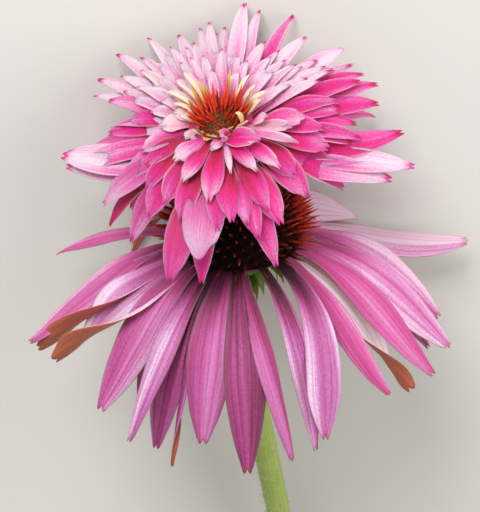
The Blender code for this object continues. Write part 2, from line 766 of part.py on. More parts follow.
def build_leaf(leaf, collection):
    """A lance-shaped leaf with a toothed edge, a sunken midrib and a tip that rests on the surface."""
    line, tangents = stem_points(100)
    place_index = int(leaf.along * 100)
    joint = line[place_index]
    forward = -tangents[place_index]
    outward = unit(np.array([forward[1], -forward[0], 0.0])) * leaf.side
    angle = math.radians(leaf.spread)
    heading = unit(forward * math.cos(angle) + outward * math.sin(angle))
    root = joint + outward * (STEM_RADIUS + GAP + 0.5 * BLADE_THICKNESS) + UP * 0.8
    tip = root + heading * leaf.length
    tip[2] = -3.0
    lift = UP * leaf.arch
    shoulder = root + outward * 0.2 * leaf.length + lift
    curve = (root, shoulder, tip - heading * 0.35 * leaf.length + lift, tip)
    centre, slopes = bezier(curve, LEAF_ROWS - 1)
    across = np.linspace(-1.0, 1.0, LEAF_COLUMNS)
    grid = np.zeros((LEAF_ROWS, LEAF_COLUMNS, 3))
    for row in range(LEAF_ROWS):
        u = row / (LEAF_ROWS - 1)
        swell = math.sin(math.pi * min(1.0, u * 0.93 + 0.02) ** 0.72) ** 0.9
        half = max(0.5 * leaf.width * swell, 0.9 - 0.5 * u)
        tooth = 1.0 + (0.10 if row % 2 else -0.05) * (0.25 < u < 0.95)
        side = unit(np.cross(slopes[row], UP))
        face = np.cross(side, slopes[row])
        for column, v in enumerate(across):
            edge = half * v * (tooth if abs(v) > 0.9 else 1.0)
            bow = 0.22 * half * abs(v) + 0.35 * math.sin(5.0 * u + 2.0 * v)
            grid[row, column] = centre[row] + side * edge + face * bow * min(1.0, 5.0 * u)
    return sheet_object(leaf.name, pressed(grid, 0.5 * BLADE_THICKNESS), collection, "leaf")


def main():
    """Build every piece of the flowering stem."""
    for thing in list(bpy.data.objects):
        bpy.data.objects.remove(thing)
    plant = bpy.data.collections.new("coneflower")
    bpy.context.scene.collection.children.link(plant)
    build_stem(plant)
    for leaf in LEAVES:
        build_leaf(leaf, plant)
    build_involucre(plant)
    build_lower_rays(plant)
    build_cone(plant)
    build_upper_rays(plant)
    build_disc(plant)
    build_collar(plant)


main()
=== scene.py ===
"""Looks of a cut coneflower stem: petals, rays, bristles, florets, stem, leaves, light and camera.

Each piece is a surface worked out on a grid: one parameter runs along it and one across it.
Lengths are in millimetres in the tables and formulas, and turn into metres where a mesh is made.
"""
import logging
import math
from dataclasses import dataclass
from enum import Enum

import bpy
import numpy as np
from mathutils import Matrix


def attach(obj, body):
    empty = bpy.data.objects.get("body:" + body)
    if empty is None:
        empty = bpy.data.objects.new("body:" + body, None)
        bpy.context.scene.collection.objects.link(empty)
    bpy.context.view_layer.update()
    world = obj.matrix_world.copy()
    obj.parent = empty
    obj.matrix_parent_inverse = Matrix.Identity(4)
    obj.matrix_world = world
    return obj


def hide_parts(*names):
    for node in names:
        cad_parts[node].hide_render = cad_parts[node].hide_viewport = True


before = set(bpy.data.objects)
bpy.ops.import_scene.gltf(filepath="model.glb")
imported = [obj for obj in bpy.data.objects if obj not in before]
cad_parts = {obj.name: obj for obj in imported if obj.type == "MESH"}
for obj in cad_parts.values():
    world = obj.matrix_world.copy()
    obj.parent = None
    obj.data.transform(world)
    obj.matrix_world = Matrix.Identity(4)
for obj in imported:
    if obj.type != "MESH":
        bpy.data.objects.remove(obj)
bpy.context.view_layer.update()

Array = np.ndarray
LOG = logging.getLogger("coneflower")

MM = 0.001
UP = np.array([0.0, 0.0, 1.0])
GOLDEN_DEGREES = 180.0 * (3.0 - math.sqrt(5.0))

# Named and sized as the solids are, in millimetres and degrees. Only the boss, the disc, the collar and the
# petals' root circle are slimmer than in the solids, as the picture shows them.
AXIS_TILT = 8.0
RING_CENTRE = (-5.1, 80.7, 31.0)
RAY_ROOT_RADIUS = 12.0
RAY_SEAT_RADIUS = 14.0
RAY_SEAT_HEIGHT = 2.4
GAP = 0.3
PRESS_BEND = 3.0
CONE_RADIUS = 16.4
CONE_HEIGHT = 20.0
BRISTLE_LENGTH = 6.0
BLOOM_HEIGHT = 25.0
BLOOM_FORWARD_TILT = 15.0
BLOOM_LEFT_TILT = 7.0
BLOOM_SHIFT_LEFT = 2.4
BOSS_RADIUS = 8.8
BOSS_TOP_RADIUS = 7.4
BOSS_HEIGHT = 10.5
NECK_RADIUS = 5.0
PETAL_ROOT_RADIUS = 6.8
DISC_RADIUS = 5.4
DISC_HEIGHT = 1.4
COLLAR_RADIUS = 6.4
CUP_HEIGHT = 7.5
CUP_RADIUS = 11.5
STEM_RADIUS = 3.3
STEM_HANDLES = ((1.5, -60.0, -8.9), (30.0, -135.0, -28.4), (12.0, -210.0, -28.3))
SEAT_HALF = 0.5 * RAY_SEAT_HEIGHT
DISC_BASE = BOSS_HEIGHT + GAP

# Height of a shell's middle where the shell rests on the surface
REST = 0.35

# Lengths of a petal's two inner handles, as shares of the petal's own length
SHOULDER_REACH = 0.38
FINISH_REACH = 0.34

# The view that the tips were read from, in pixels and degrees
VIEW_FOCAL_PX = 1706.7
VIEW_MM_PER_PX = 0.25
VIEW_MIDDLE_PX = (240.0, 256.0)
RING_CENTRE_PX = (236.0, 240.0)
VIEW_OVER_RING = 33.0


def linear(code: str) -> tuple[float, float, float, float]:
    """Turn an sRGB hex value into a linear colour.

    Args:
        code: Six hex digits after a hash sign.

    Returns:
        Linear red, green, blue and an alpha of one.
    """
    parts = (int(code[start:start + 2], 16) / 255.0 for start in (1, 3, 5))
    red, green, blue = (c / 12.92 if c <= 0.04045 else ((c + 0.055) / 1.055) ** 2.4 for c in parts)
    return red, green, blue, 1.0


def unit(vectors: Array) -> Array:
    """Return each vector at length one."""
    return vectors / np.maximum(np.linalg.norm(vectors, axis=-1, keepdims=True), 1e-9)


def smooth(values: Array, low: float, high: float) -> Array:
    """Return a soft step: 0 below low, 1 above high, and a cubic in between."""
    t = np.clip((values - low) / (high - low), 0.0, 1.0)
    return t * t * (3.0 - 2.0 * t)


def stations(rows: int) -> Array:
    """Return values from 0 to 1 that lie closer together toward 1, as a column."""
    return 1.0 - (1.0 - np.linspace(0.0, 1.0, rows)[:, None]) ** 1.25


def crosswise(columns: int) -> Array:
    """Return evenly spaced values from -1 to 1, as a row."""
    return np.linspace(-1.0, 1.0, columns)[None, :]


@dataclass(frozen=True)
class Axes:
    """A centre with an axis and two directions square to it, front and right."""

    centre: Array
    axis: Array
    front: Array

    @property
    def right(self) -> Array:
        """Return the direction square to the axis and the front."""
        return np.cross(self.axis, self.front)

    def outward(self, azimuth: Array | float) -> Array:
        """Return the direction away from the axis: 0 degrees is the front and 90 the right."""
        angle = np.radians(np.asarray(azimuth, float))[..., None]
        return self.right * np.sin(angle) + self.front * np.cos(angle)

    def around(self, azimuth: float) -> Array:
        """Return the direction round the axis: the cross product of the axis and the way out."""
        return np.cross(self.axis, self.outward(azimuth))

    def point(self, azimuth: Array | float, radius: Array | float, height: Array | float) -> Array:
        """Return the point at an azimuth, a radius from the axis and a height along it."""
        reach = self.outward(azimuth) * np.asarray(radius, float)[..., None]
        return self.centre + reach + self.axis * np.asarray(height, float)[..., None]

    def measure(self, points: Array) -> tuple[Array, Array, Array]:
        """Measure points about the axis, which is the reverse of point.

        Args:
            points: Points of shape (..., 3).

        Returns:
            Their azimuths in degrees, radii and heights.
        """
        offset = points - self.centre
        across, ahead = offset @ self.right, offset @ self.front
        return np.degrees(np.arctan2(across, ahead)), np.hypot(across, ahead), offset @ self.axis


def ring_axes() -> Axes:
    """Lean an axis up from the surface by the axis tilt.

    Returns:
        The axes of the lower ring and the cone.
    """
    tilt = math.radians(AXIS_TILT)
    axis = np.array([0.0, math.cos(tilt), math.sin(tilt)])
    return Axes(np.array(RING_CENTRE), axis, np.array([0.0, -math.sin(tilt), math.cos(tilt)]))


def bloom_axes() -> Axes:
    """Lean the ring's axis forward by one angle, and to the left by the tangent of another.

    Returns:
        The axes of the upper bloom, which stands on the cone a little to the left.
    """
    forward = math.radians(BLOOM_FORWARD_TILT)
    axis = RING.axis * math.cos(forward) + RING.front * math.sin(forward)
    axis = unit(axis - RING.right * math.tan(math.radians(BLOOM_LEFT_TILT)))
    front = unit(RING.front - axis * (RING.front @ axis))
    return Axes(RING.centre + RING.axis * BLOOM_HEIGHT - RING.right * BLOOM_SHIFT_LEFT, axis, front)


RING = ring_axes()
BLOOM = bloom_axes()


@dataclass(frozen=True)
class Sight:
    """The eye that the tips were read from, and its three directions."""

    over: float = VIEW_OVER_RING

    @property
    def toward(self) -> Array:
        """Return the direction from the bloom to the eye."""
        over = math.radians(self.over)
        return RING.front * math.cos(over) + RING.axis * math.sin(over)

    @property
    def upward(self) -> Array:
        """Return the direction that is up in the picture."""
        over = math.radians(self.over)
        return RING.axis * math.cos(over) - RING.front * math.sin(over)

    @property
    def eye(self) -> Array:
        """Step back from the point in the picture's middle by the focal length at the picture's scale.

        Returns:
            The eye's place, in millimetres.
        """
        right_px = RING_CENTRE_PX[0] - VIEW_MIDDLE_PX[0]
        down_px = RING_CENTRE_PX[1] - VIEW_MIDDLE_PX[1]
        middle = RING.centre - (RING.right * right_px - self.upward * down_px) * VIEW_MM_PER_PX
        return middle + self.toward * VIEW_FOCAL_PX * VIEW_MM_PER_PX

    def on_plane(self, pixel: tuple[float, float], axes: Axes, height: float, floor: float) -> Array:
        """Find the point that shows at a pixel and lies at a height over a plane.

        Args:
            pixel: Column and row in the picture.
            axes: The plane is square to its axis, through its centre.
            height: Height over that plane.
            floor: The lowest that the point may lie.

        Returns:
            Where the line of sight meets the raised plane, or the floor if that place is below it.
        """
        across, down = pixel[0] - VIEW_MIDDLE_PX[0], pixel[1] - VIEW_MIDDLE_PX[1]
        ray = RING.right * across - self.upward * down - self.toward * VIEW_FOCAL_PX
        reach = (height + axes.axis @ (axes.centre - self.eye)) / (axes.axis @ ray)
        point = self.eye + ray * reach
        if point[2] < floor:
            point = self.eye + ray * (floor - self.eye[2]) / ray[2]
        return point


SIGHT = Sight()


def bezier(handles: Array, t: Array) -> tuple[Array, Array]:
    """Carry a parameter along a cubic Bezier curve.

    Args:
        handles: The curve's four points.
        t: Parameter values of any shape, from 0 to 1.

    Returns:
        Points and unit tangents, each with one more dimension than t.
    """
    t = np.asarray(t, float)[..., None]
    a, b, c, d = handles
    line = a * (1 - t) ** 3 + 3 * b * t * (1 - t) ** 2 + 3 * c * t ** 2 * (1 - t) + d * t ** 3
    slope = (b - a) * (1 - t) ** 2 + 2 * (c - b) * t * (1 - t) + (d - c) * t ** 2
    return line, unit(slope)


def pressed(points: Array, floor: float) -> Array:
    """Hold points at or above a floor height.

    The height becomes the larger of the two. Within the bend's reach of the floor it rises by up to a
    quarter of that reach, times the square of how near it is, so that the surface bends softly.

    Args:
        points: Points of shape (..., 3).
        floor: The lowest height.

    Returns:
        The points with their new heights.
    """
    height = points[..., 2]
    blend = np.clip(PRESS_BEND - np.abs(height - floor), 0.0, None) / PRESS_BEND
    result = points.copy()
    result[..., 2] = np.maximum(height, floor) + blend ** 2 * PRESS_BEND / 4.0
    return result


class TipForm(Enum):
    """How a blade ends, by the set-back of its tip over its half width."""

    TWO_TEETH = "two teeth"
    THREE_TEETH = "three teeth"
    POINTED = "pointed"
    ROUNDED = "rounded"

    @property
    def outline(self) -> tuple[float, float, float]:
        """Look up how the width runs along an upper petal of this form.

        Returns:
            The claw's share of the width, where the belly lies, and how much the end narrows.
        """
        return {
            TipForm.TWO_TEETH: (0.3, 0.6, 0.72), TipForm.THREE_TEETH: (0.42, 0.48, 0.8),
            TipForm.POINTED: (0.26, 0.55, 0.88), TipForm.ROUNDED: (0.3, 0.62, 0.62),
        }[self]

    def setback(self, v: Array) -> Array:
        """Work out how far the end is set back.

        Two teeth have one bell-shaped notch between them, and three have one on each side of the middle.
        Their corners round off by a power of the way out from halfway. A pointed or a rounded end is a
        power of the way out from the middle.

        Args:
            v: Place across the blade, from -1 to 1.

        Returns:
            The set-back, as a share of a tooth's length.
        """
        corner = np.clip((np.abs(v) - 0.5) / 0.5, 0.0, 1.0) ** 1.5 * 1.3
        if self is TipForm.TWO_TEETH:
            return np.exp(-((v / 0.24) ** 2)) + corner
        if self is TipForm.THREE_TEETH:
            return 0.9 * np.exp(-(((np.abs(v) - 0.4) / 0.15) ** 2)) + corner
        if self is TipForm.POINTED:
            return 1.8 * np.abs(v) ** 1.8
        return 1.8 * np.abs(v) ** 2.4


@dataclass(frozen=True)
class Blade:
    """A petal-like blade along a Bezier curve, with its half width, bend and teeth as formulas.

    Attributes:
        handles: The four points of the curve.
        side: Direction across the blade at its root.
        width: Full width, in millimetres.
        outline: The claw's share of the width, where the belly lies, and how much the end narrows.
        cup: Angle that its edges turn down through, in radians; below zero they turn up.
        tip: How it ends.
        ripple: Height of the waves along its edges, in millimetres.
        phase: Number that shifts its waves, furrows and notches.
        turn: Degrees that it turns about its length by its tip.
        furrow: Depth of its furrows, in millimetres.
        furrows: How many fine furrows lie side by side.
        tooth: Length of a tooth, in millimetres.
        facing: Share of its turn toward the eye past its root.
        late: Power of the way along by which the turn sets in.
    """

    handles: Array
    side: Array
    width: float
    outline: tuple[float, float, float]
    cup: float
    tip: TipForm
    ripple: float
    phase: float
    turn: float = 0.0
    furrow: float = 0.0
    furrows: int = 9
    tooth: float = 1.0
    facing: float = 0.0
    late: float = 2.2

    def half_width(self, u: Array) -> Array:
        """Work out the half width.

        It swells from the claw's share to the belly by a quarter sine and a soft step, in the ratio of two
        to three, and past the belly it narrows by a power of the way to the end.

        Args:
            u: Place along the blade, from 0 to 1.

        Returns:
            Half widths, in millimetres.
        """
        claw, belly, end = self.outline
        swell = 0.4 * np.sin(np.clip(u / belly, 0.0, 1.0) * math.pi / 2.0) + 0.6 * smooth(u, 0.0, belly)
        taper = 1.0 - end * np.clip((u - belly) / (1.0 - belly), 0.0, 1.0) ** 1.6
        return 0.5 * self.width * (claw + (1.0 - claw) * swell) * taper

    def relief(self, u: Array, v: Array) -> Array:
        """Work out the furrows' depth.

        Two main furrows are bell-shaped grooves a third of the way out, finer ones are one less a power of
        the absolute sine of a bent v, and all of them fade in from the root.

        Args:
            u: Place along the blade, from 0 to 1, as a column.
            v: Place across it, from -1 to 1, as a row.

        Returns:
            Depths from 0 to about 1.
        """
        bent = v + 0.12 * np.sin(2.3 * v + 2.1 * self.phase) + 0.05 * np.sin(5.0 * u + self.phase)
        left = 0.34 + 0.08 * math.sin(1.9 * self.phase)
        right = 0.36 + 0.08 * math.sin(2.7 * self.phase)
        main = np.exp(-(((bent + left) / 0.16) ** 2)) + np.exp(-(((bent - right) / 0.16) ** 2))
        fine = 1.0 - np.abs(np.sin(math.pi * self.furrows * (bent + 1.0) / 2.0)) ** 0.6
        return (0.7 * main + 0.3 * fine) * smooth(u, 0.03, 0.35) * (1.0 - 0.5 * smooth(u, 0.8, 1.0))

    def grid(self, rows: int, columns: int) -> Array:
        """Work out the blade's middle surface.

        The cross-section is an arc whose edges turn through the cup angle, of which a third is there at
        the root and all of it from three quarters of the way along. The relief sinks into it, and the
        ripple is a sine along its edges. Over the last fifth of the length its columns are set back by
        the tip's form. Past its root the blade turns by its share toward the eye, and then about its
        length by the turn times a power of the way along.

        Args:
            rows: Grid lines along the blade.
            columns: Grid lines across it.

        Returns:
            Points of shape (rows, columns, 3).
        """
        u = stations(rows)
        v = crosswise(columns)
        length = float(np.linalg.norm(self.handles[3] - self.handles[0]))
        back = self.tip.setback(v + 0.16 * math.sin(2.1 * self.phase)) * self.tooth / length
        centre, tangent = bezier(self.handles, u - back * smooth(u, 0.8, 1.0))
        flat = unit(self.side - tangent * (tangent @ self.side)[..., None])
        share = (self.facing * smooth(u, 0.05, 0.5))[..., None]
        flat = unit(flat * (1.0 - share) + unit(np.cross(SIGHT.toward, tangent)) * share)
        angle = np.radians(self.turn * u ** self.late)[..., None]
        side = flat * np.cos(angle) + np.cross(tangent, flat) * np.sin(angle)
        face = np.cross(tangent, side)
        half = self.half_width(u)
        bend = self.cup * v * (0.35 + 0.65 * smooth(u, 0.2, 0.75)) + 1e-6
        lateral = half * v * np.sinc(bend / math.pi)
        lift = -half * v * np.sin(bend / 2.0) * np.sinc(bend / (2.0 * math.pi))
        lift = lift - self.furrow * self.relief(u, v)
        wave = np.sin(math.pi * (3.2 * u + self.phase) + 1.3 * v)
        lift = lift + self.ripple * wave * np.abs(v) ** 1.5 * smooth(u, 0.15, 0.5)
        return centre + side * lateral[..., None] + face * lift[..., None]


class Gathered:
    """Points, faces and values of many surfaces that become one mesh.

    The first two channels become the blade's own map, and the others attributes of the points.
    """

    CHANNELS = ("along", "across", "tone", "under", "seed", "tint")

    def __init__(self) -> None:
        """Start with nothing gathered."""
        self.points: list[Array] = []
        self.faces: list[tuple[Array, bool]] = []
        self.values: list[Array] = []
        self.count = 0

    def add(
        self, points: Array, faces: list[tuple[Array, bool]], channels: dict[str, Array | float]
    ) -> None:
        """Add points with faces that count from their first point.

        Args:
            points: Points of shape (n, 3).
            faces: Arrays of corner numbers, each with whether it is shaded smooth.
            channels: A value for each point, or one for all, by channel name.
        """
        self.points.append(points)
        self.faces += [(corners + self.count, is_smooth) for corners, is_smooth in faces]
        values = (np.asarray(channels.get(channel, 0.0), float) for channel in self.CHANNELS)
        self.values.append(np.stack([np.broadcast_to(value, len(points)) for value in values], axis=1))
        self.count += len(points)

    def add_shell(
        self, grid: Array, thickness: float, tone: Array | float, seed: float, tint: float = 0.0
    ) -> None:
        """Add a closed thin shell round a middle surface: two offset sheets and the rim between.

        Args:
            grid: Middle surface of shape (rows, columns, 3).
            thickness: Thickness in the middle, which thins by powers of the way out and along: to a third
                at the rim, and by half at the tip.
            tone: Tone of each grid point, or of all.
            seed: Number that shifts this blade's pattern.
            tint: Share of the skin's tint; below zero, of its counter tint.
        """
        rows, columns = grid.shape[:2]
        slope_u, slope_v = np.gradient(grid, axis=0), np.gradient(grid, axis=1)
        normal = unit(np.cross(slope_u, slope_v))
        v = crosswise(columns)
        u = stations(rows)
        half = 0.5 * thickness * (1.0 - 0.66 * v ** 4) * (1.0 - 0.5 * u ** 6)
        top, bottom = grid + normal * half[..., None], grid - normal * half[..., None]
        index = np.arange(rows * columns).reshape(rows, columns)
        a, b, c, d = index[:-1, :-1], index[1:, :-1], index[1:, 1:], index[:-1, 1:]
        sheet = np.stack([a, b, c, d], axis=-1).reshape(-1, 4)
        under = sheet[:, ::-1] + rows * columns
        rim = np.concatenate([index[:, 0], index[-1, 1:], index[-2::-1, -1], index[0, -2::-1]])
        first, second = rim[:-1], rim[1:]
        strip = np.stack([first, first + rows * columns, second + rows * columns, second], axis=-1)
        ones = np.ones((rows, columns))
        channels = {
            "along": np.tile((u * ones).ravel(), 2),
            "across": np.tile((0.5 + 0.5 * v * ones).ravel(), 2),
            "tone": np.tile((tone * ones).ravel(), 2),
            "under": np.repeat((0.0, 1.0), rows * columns),
            "tint": tint,
            "seed": seed,
        }
        points = np.concatenate([top.reshape(-1, 3), bottom.reshape(-1, 3)])
        self.add(points, [(sheet, True), (under, True), (strip, False)], channels)

    def add_tubes(
        self, rings: Array, foot: Array, apex: Array, tone: Array | float = 0.0, seed: Array | float = 0.0
    ) -> None:
        """Add closed tubes: rings of points joined along, with a fan to a point at each end.

        Args:
            rings: Points of shape (tubes, rings, sides, 3), turning left about the way along.
            foot: The middle of each tube's first end, of shape (tubes, 3).
            apex: The middle or point of each tube's last end, of shape (tubes, 3).
            tone: One value for each tube, or one for all.
            seed: Number that shifts the pattern, for each tube or for all.
        """
        tubes, along, sides = rings.shape[:3]
        size = along * sides + 2
        points = np.concatenate([rings.reshape(tubes, -1, 3), foot[:, None], apex[:, None]], axis=1)
        index = np.arange(along * sides).reshape(along, sides)
        after = np.roll(index, -1, axis=1)
        wall = np.stack([index[:-1], after[:-1], after[1:], index[1:]], axis=-1).reshape(-1, 4)
        start = np.stack([after[0], index[0], np.full(sides, size - 2)], axis=-1)
        stop = np.stack([index[-1], after[-1], np.full(sides, size - 1)], axis=-1)
        shift = (np.arange(tubes) * size)[:, None, None]
        faces = [((part[None] + shift).reshape(-1, part.shape[1]), True) for part in (wall, start, stop)]
        t = np.append(np.repeat(np.linspace(0.0, 1.0, along), sides), (0.0, 1.0))
        around = np.append(np.tile(np.linspace(0.0, 1.0, sides), along), (0.5, 0.5))
        ones = np.ones((tubes, 1))
        channels = {
            "along": (ones * t).ravel(),
            "across": (ones * around).ravel(),
            "tone": np.repeat(np.broadcast_to(tone, tubes), size),
            "seed": np.repeat(np.broadcast_to(seed, tubes), size),
        }
        self.add(points.reshape(-1, 3), faces, channels)

    def piece(self, name: str, node: str, finish: "Finish") -> bpy.types.Object:
        """Make the object, whose place is in its mesh: it rides on the root and stands for a solid.

        Args:
            name: The piece's name.
            node: The solid that the piece replaces.
            finish: What its surface is.

        Returns:
            The new object.
        """
        mesh = bpy.data.meshes.new(name)
        points, values = np.concatenate(self.points) * MM, np.concatenate(self.values)
        corners = np.concatenate([part.ravel() for part, _ in self.faces])
        totals = np.concatenate([np.full(len(part), part.shape[1]) for part, _ in self.faces])
        smoothed = np.concatenate([np.full(len(part), is_smooth) for part, is_smooth in self.faces])
        mesh.vertices.add(len(points))
        mesh.vertices.foreach_set("co", points.ravel().astype(np.float32))
        mesh.loops.add(len(corners))
        mesh.loops.foreach_set("vertex_index", corners.astype(np.int32))
        mesh.polygons.add(len(totals))
        mesh.polygons.foreach_set("loop_start", (np.cumsum(totals) - totals).astype(np.int32))
        mesh.polygons.foreach_set("use_smooth", smoothed)
        layer = mesh.uv_layers.new(name="blade")
        layer.data.foreach_set("uv", values[corners, :2].ravel().astype(np.float32))
        for column, channel in enumerate(self.CHANNELS[2:], start=2):
            layer = mesh.attributes.new(channel, "FLOAT", "POINT")
            layer.data.foreach_set("value", values[:, column].astype(np.float32))
        mesh.update(calc_edges=True)
        mesh.validate()
        mesh.materials.append(finish.material())
        made = bpy.data.objects.new(name, mesh)
        bpy.context.scene.collection.objects.link(made)
        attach(made, "root")
        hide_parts(node)
        LOG.info("%s: %d points, %d faces", name, len(points), len(totals))
        return made


def add_node(
    tree: bpy.types.NodeTree, kind: str, inputs: dict | None = None, stops: tuple = (), **settings: object
) -> bpy.types.Node:
    """Add a node with its settings, values and links.

    Args:
        tree: The node tree that the node goes into.
        kind: The node's type name.
        inputs: Sockets to link from, or values, by input name or number.
        stops: Place and hex colour of each stop of a colour ramp.
        settings: Attributes of the node.

    Returns:
        The new node.
    """
    made = tree.nodes.new(kind)
    for name, value in settings.items():
        setattr(made, name, value)
    for key, value in (inputs or {}).items():
        if isinstance(value, bpy.types.NodeSocket):
            tree.links.new(value, made.inputs[key])
        else:
            made.inputs[key].default_value = value
    for number, (place, code) in enumerate(stops):
        ramp = made.color_ramp.elements
        stop = ramp[number] if number < 2 else ramp.new(place)
        stop.position = place
        stop.color = linear(code)
    return made


@dataclass(frozen=True)
class Finish:
    """What a surface is: its name, its shine, and the graph that colours it.

    Attributes:
        name: The material's name.
        roughness: How matt it is; skin, straw and wax lie between 0.5 and 0.9.
        ior: Index of refraction, 1.4 or so for living skin, and lower where dry fuzz hides the gloss.
        sheen: Weight of the soft light of fine hairs.
        glow: Weight of the light that comes through a thin petal.
    """

    name: str
    roughness: float = 0.55
    ior: float = 1.42
    sheen: float = 0.0
    glow: float = 0.0

    def colour(self, tree: bpy.types.NodeTree) -> tuple[bpy.types.NodeSocket, bpy.types.NodeSocket]:
        """Return the sockets of the colour and of the bump height."""
        raise NotImplementedError

    def readings(self, tree: bpy.types.NodeTree, *names: str) -> dict[str, bpy.types.NodeSocket]:
        """Add the nodes that read a surface's own values.

        Args:
            tree: The node tree that they go into.
            names: The attributes that are read.

        Returns:
            Sockets by name: along and across from the blade's own map, where for the Object
            coordinates, and the attributes.
        """
        own_map = add_node(tree, "ShaderNodeUVMap", uv_map="blade").outputs[0]
        place = add_node(tree, "ShaderNodeSeparateXYZ", {0: own_map}).outputs
        where = add_node(tree, "ShaderNodeTexCoord").outputs["Object"]
        read = {"along": place[0], "across": place[1], "where": where}
        for name in names:
            read[name] = add_node(tree, "ShaderNodeAttribute", attribute_name=name).outputs["Fac"]
        return read

    def material(self) -> bpy.types.Material:
        """Make the material once: constants on the shader, the colour and the bump from the graph.

        Returns:
            The material, new or made before.
        """
        ready = bpy.data.materials.get(self.name)
        if ready is not None:
            return ready
        made = bpy.data.materials.new(self.name)
        made.use_nodes = True
        tree = made.node_tree
        tree.nodes.clear()
        colour, height = self.colour(tree)
        bump = add_node(tree, "ShaderNodeBump", {"Height": height, "Strength": 0.6, "Distance": 0.0004})
        shader = add_node(tree, "ShaderNodeBsdfPrincipled", {
            "Base Color": colour, "Normal": bump.outputs[0], "Roughness": self.roughness, "IOR": self.ior,
            "Sheen Weight": self.sheen, "Sheen Roughness": 0.4, "Subsurface Weight": self.glow,
            "Subsurface Radius": (1.0, 0.35, 0.5), "Subsurface Scale": 0.0015,
        })
        add_node(tree, "ShaderNodeOutputMaterial", {"Surface": shader.outputs[0]})
        return made


# On a 10 mm ray a streak of pigment is 0.3 mm wide, which is some ten rows of cells, and a broad one is
# 1.4 mm wide. Both run for a third of the length or more. The seed's step sets the petals' noises apart.
STREAKS_ACROSS = 32.0
STREAKS_ALONG = 3.0
BROAD_SHARE = 0.22
SEED_STEP = 9.0

# A petal's cells are 0.03 to 0.05 mm wide, too fine to show. They are drawn 0.56 mm wide, so that the skin
# looks finely mottled. The flecks on a bristle or a spike are 1.1 mm wide, also coarser than real ones.
CELLS_PER_METRE = 1800.0
FLECKS_PER_METRE = 900.0


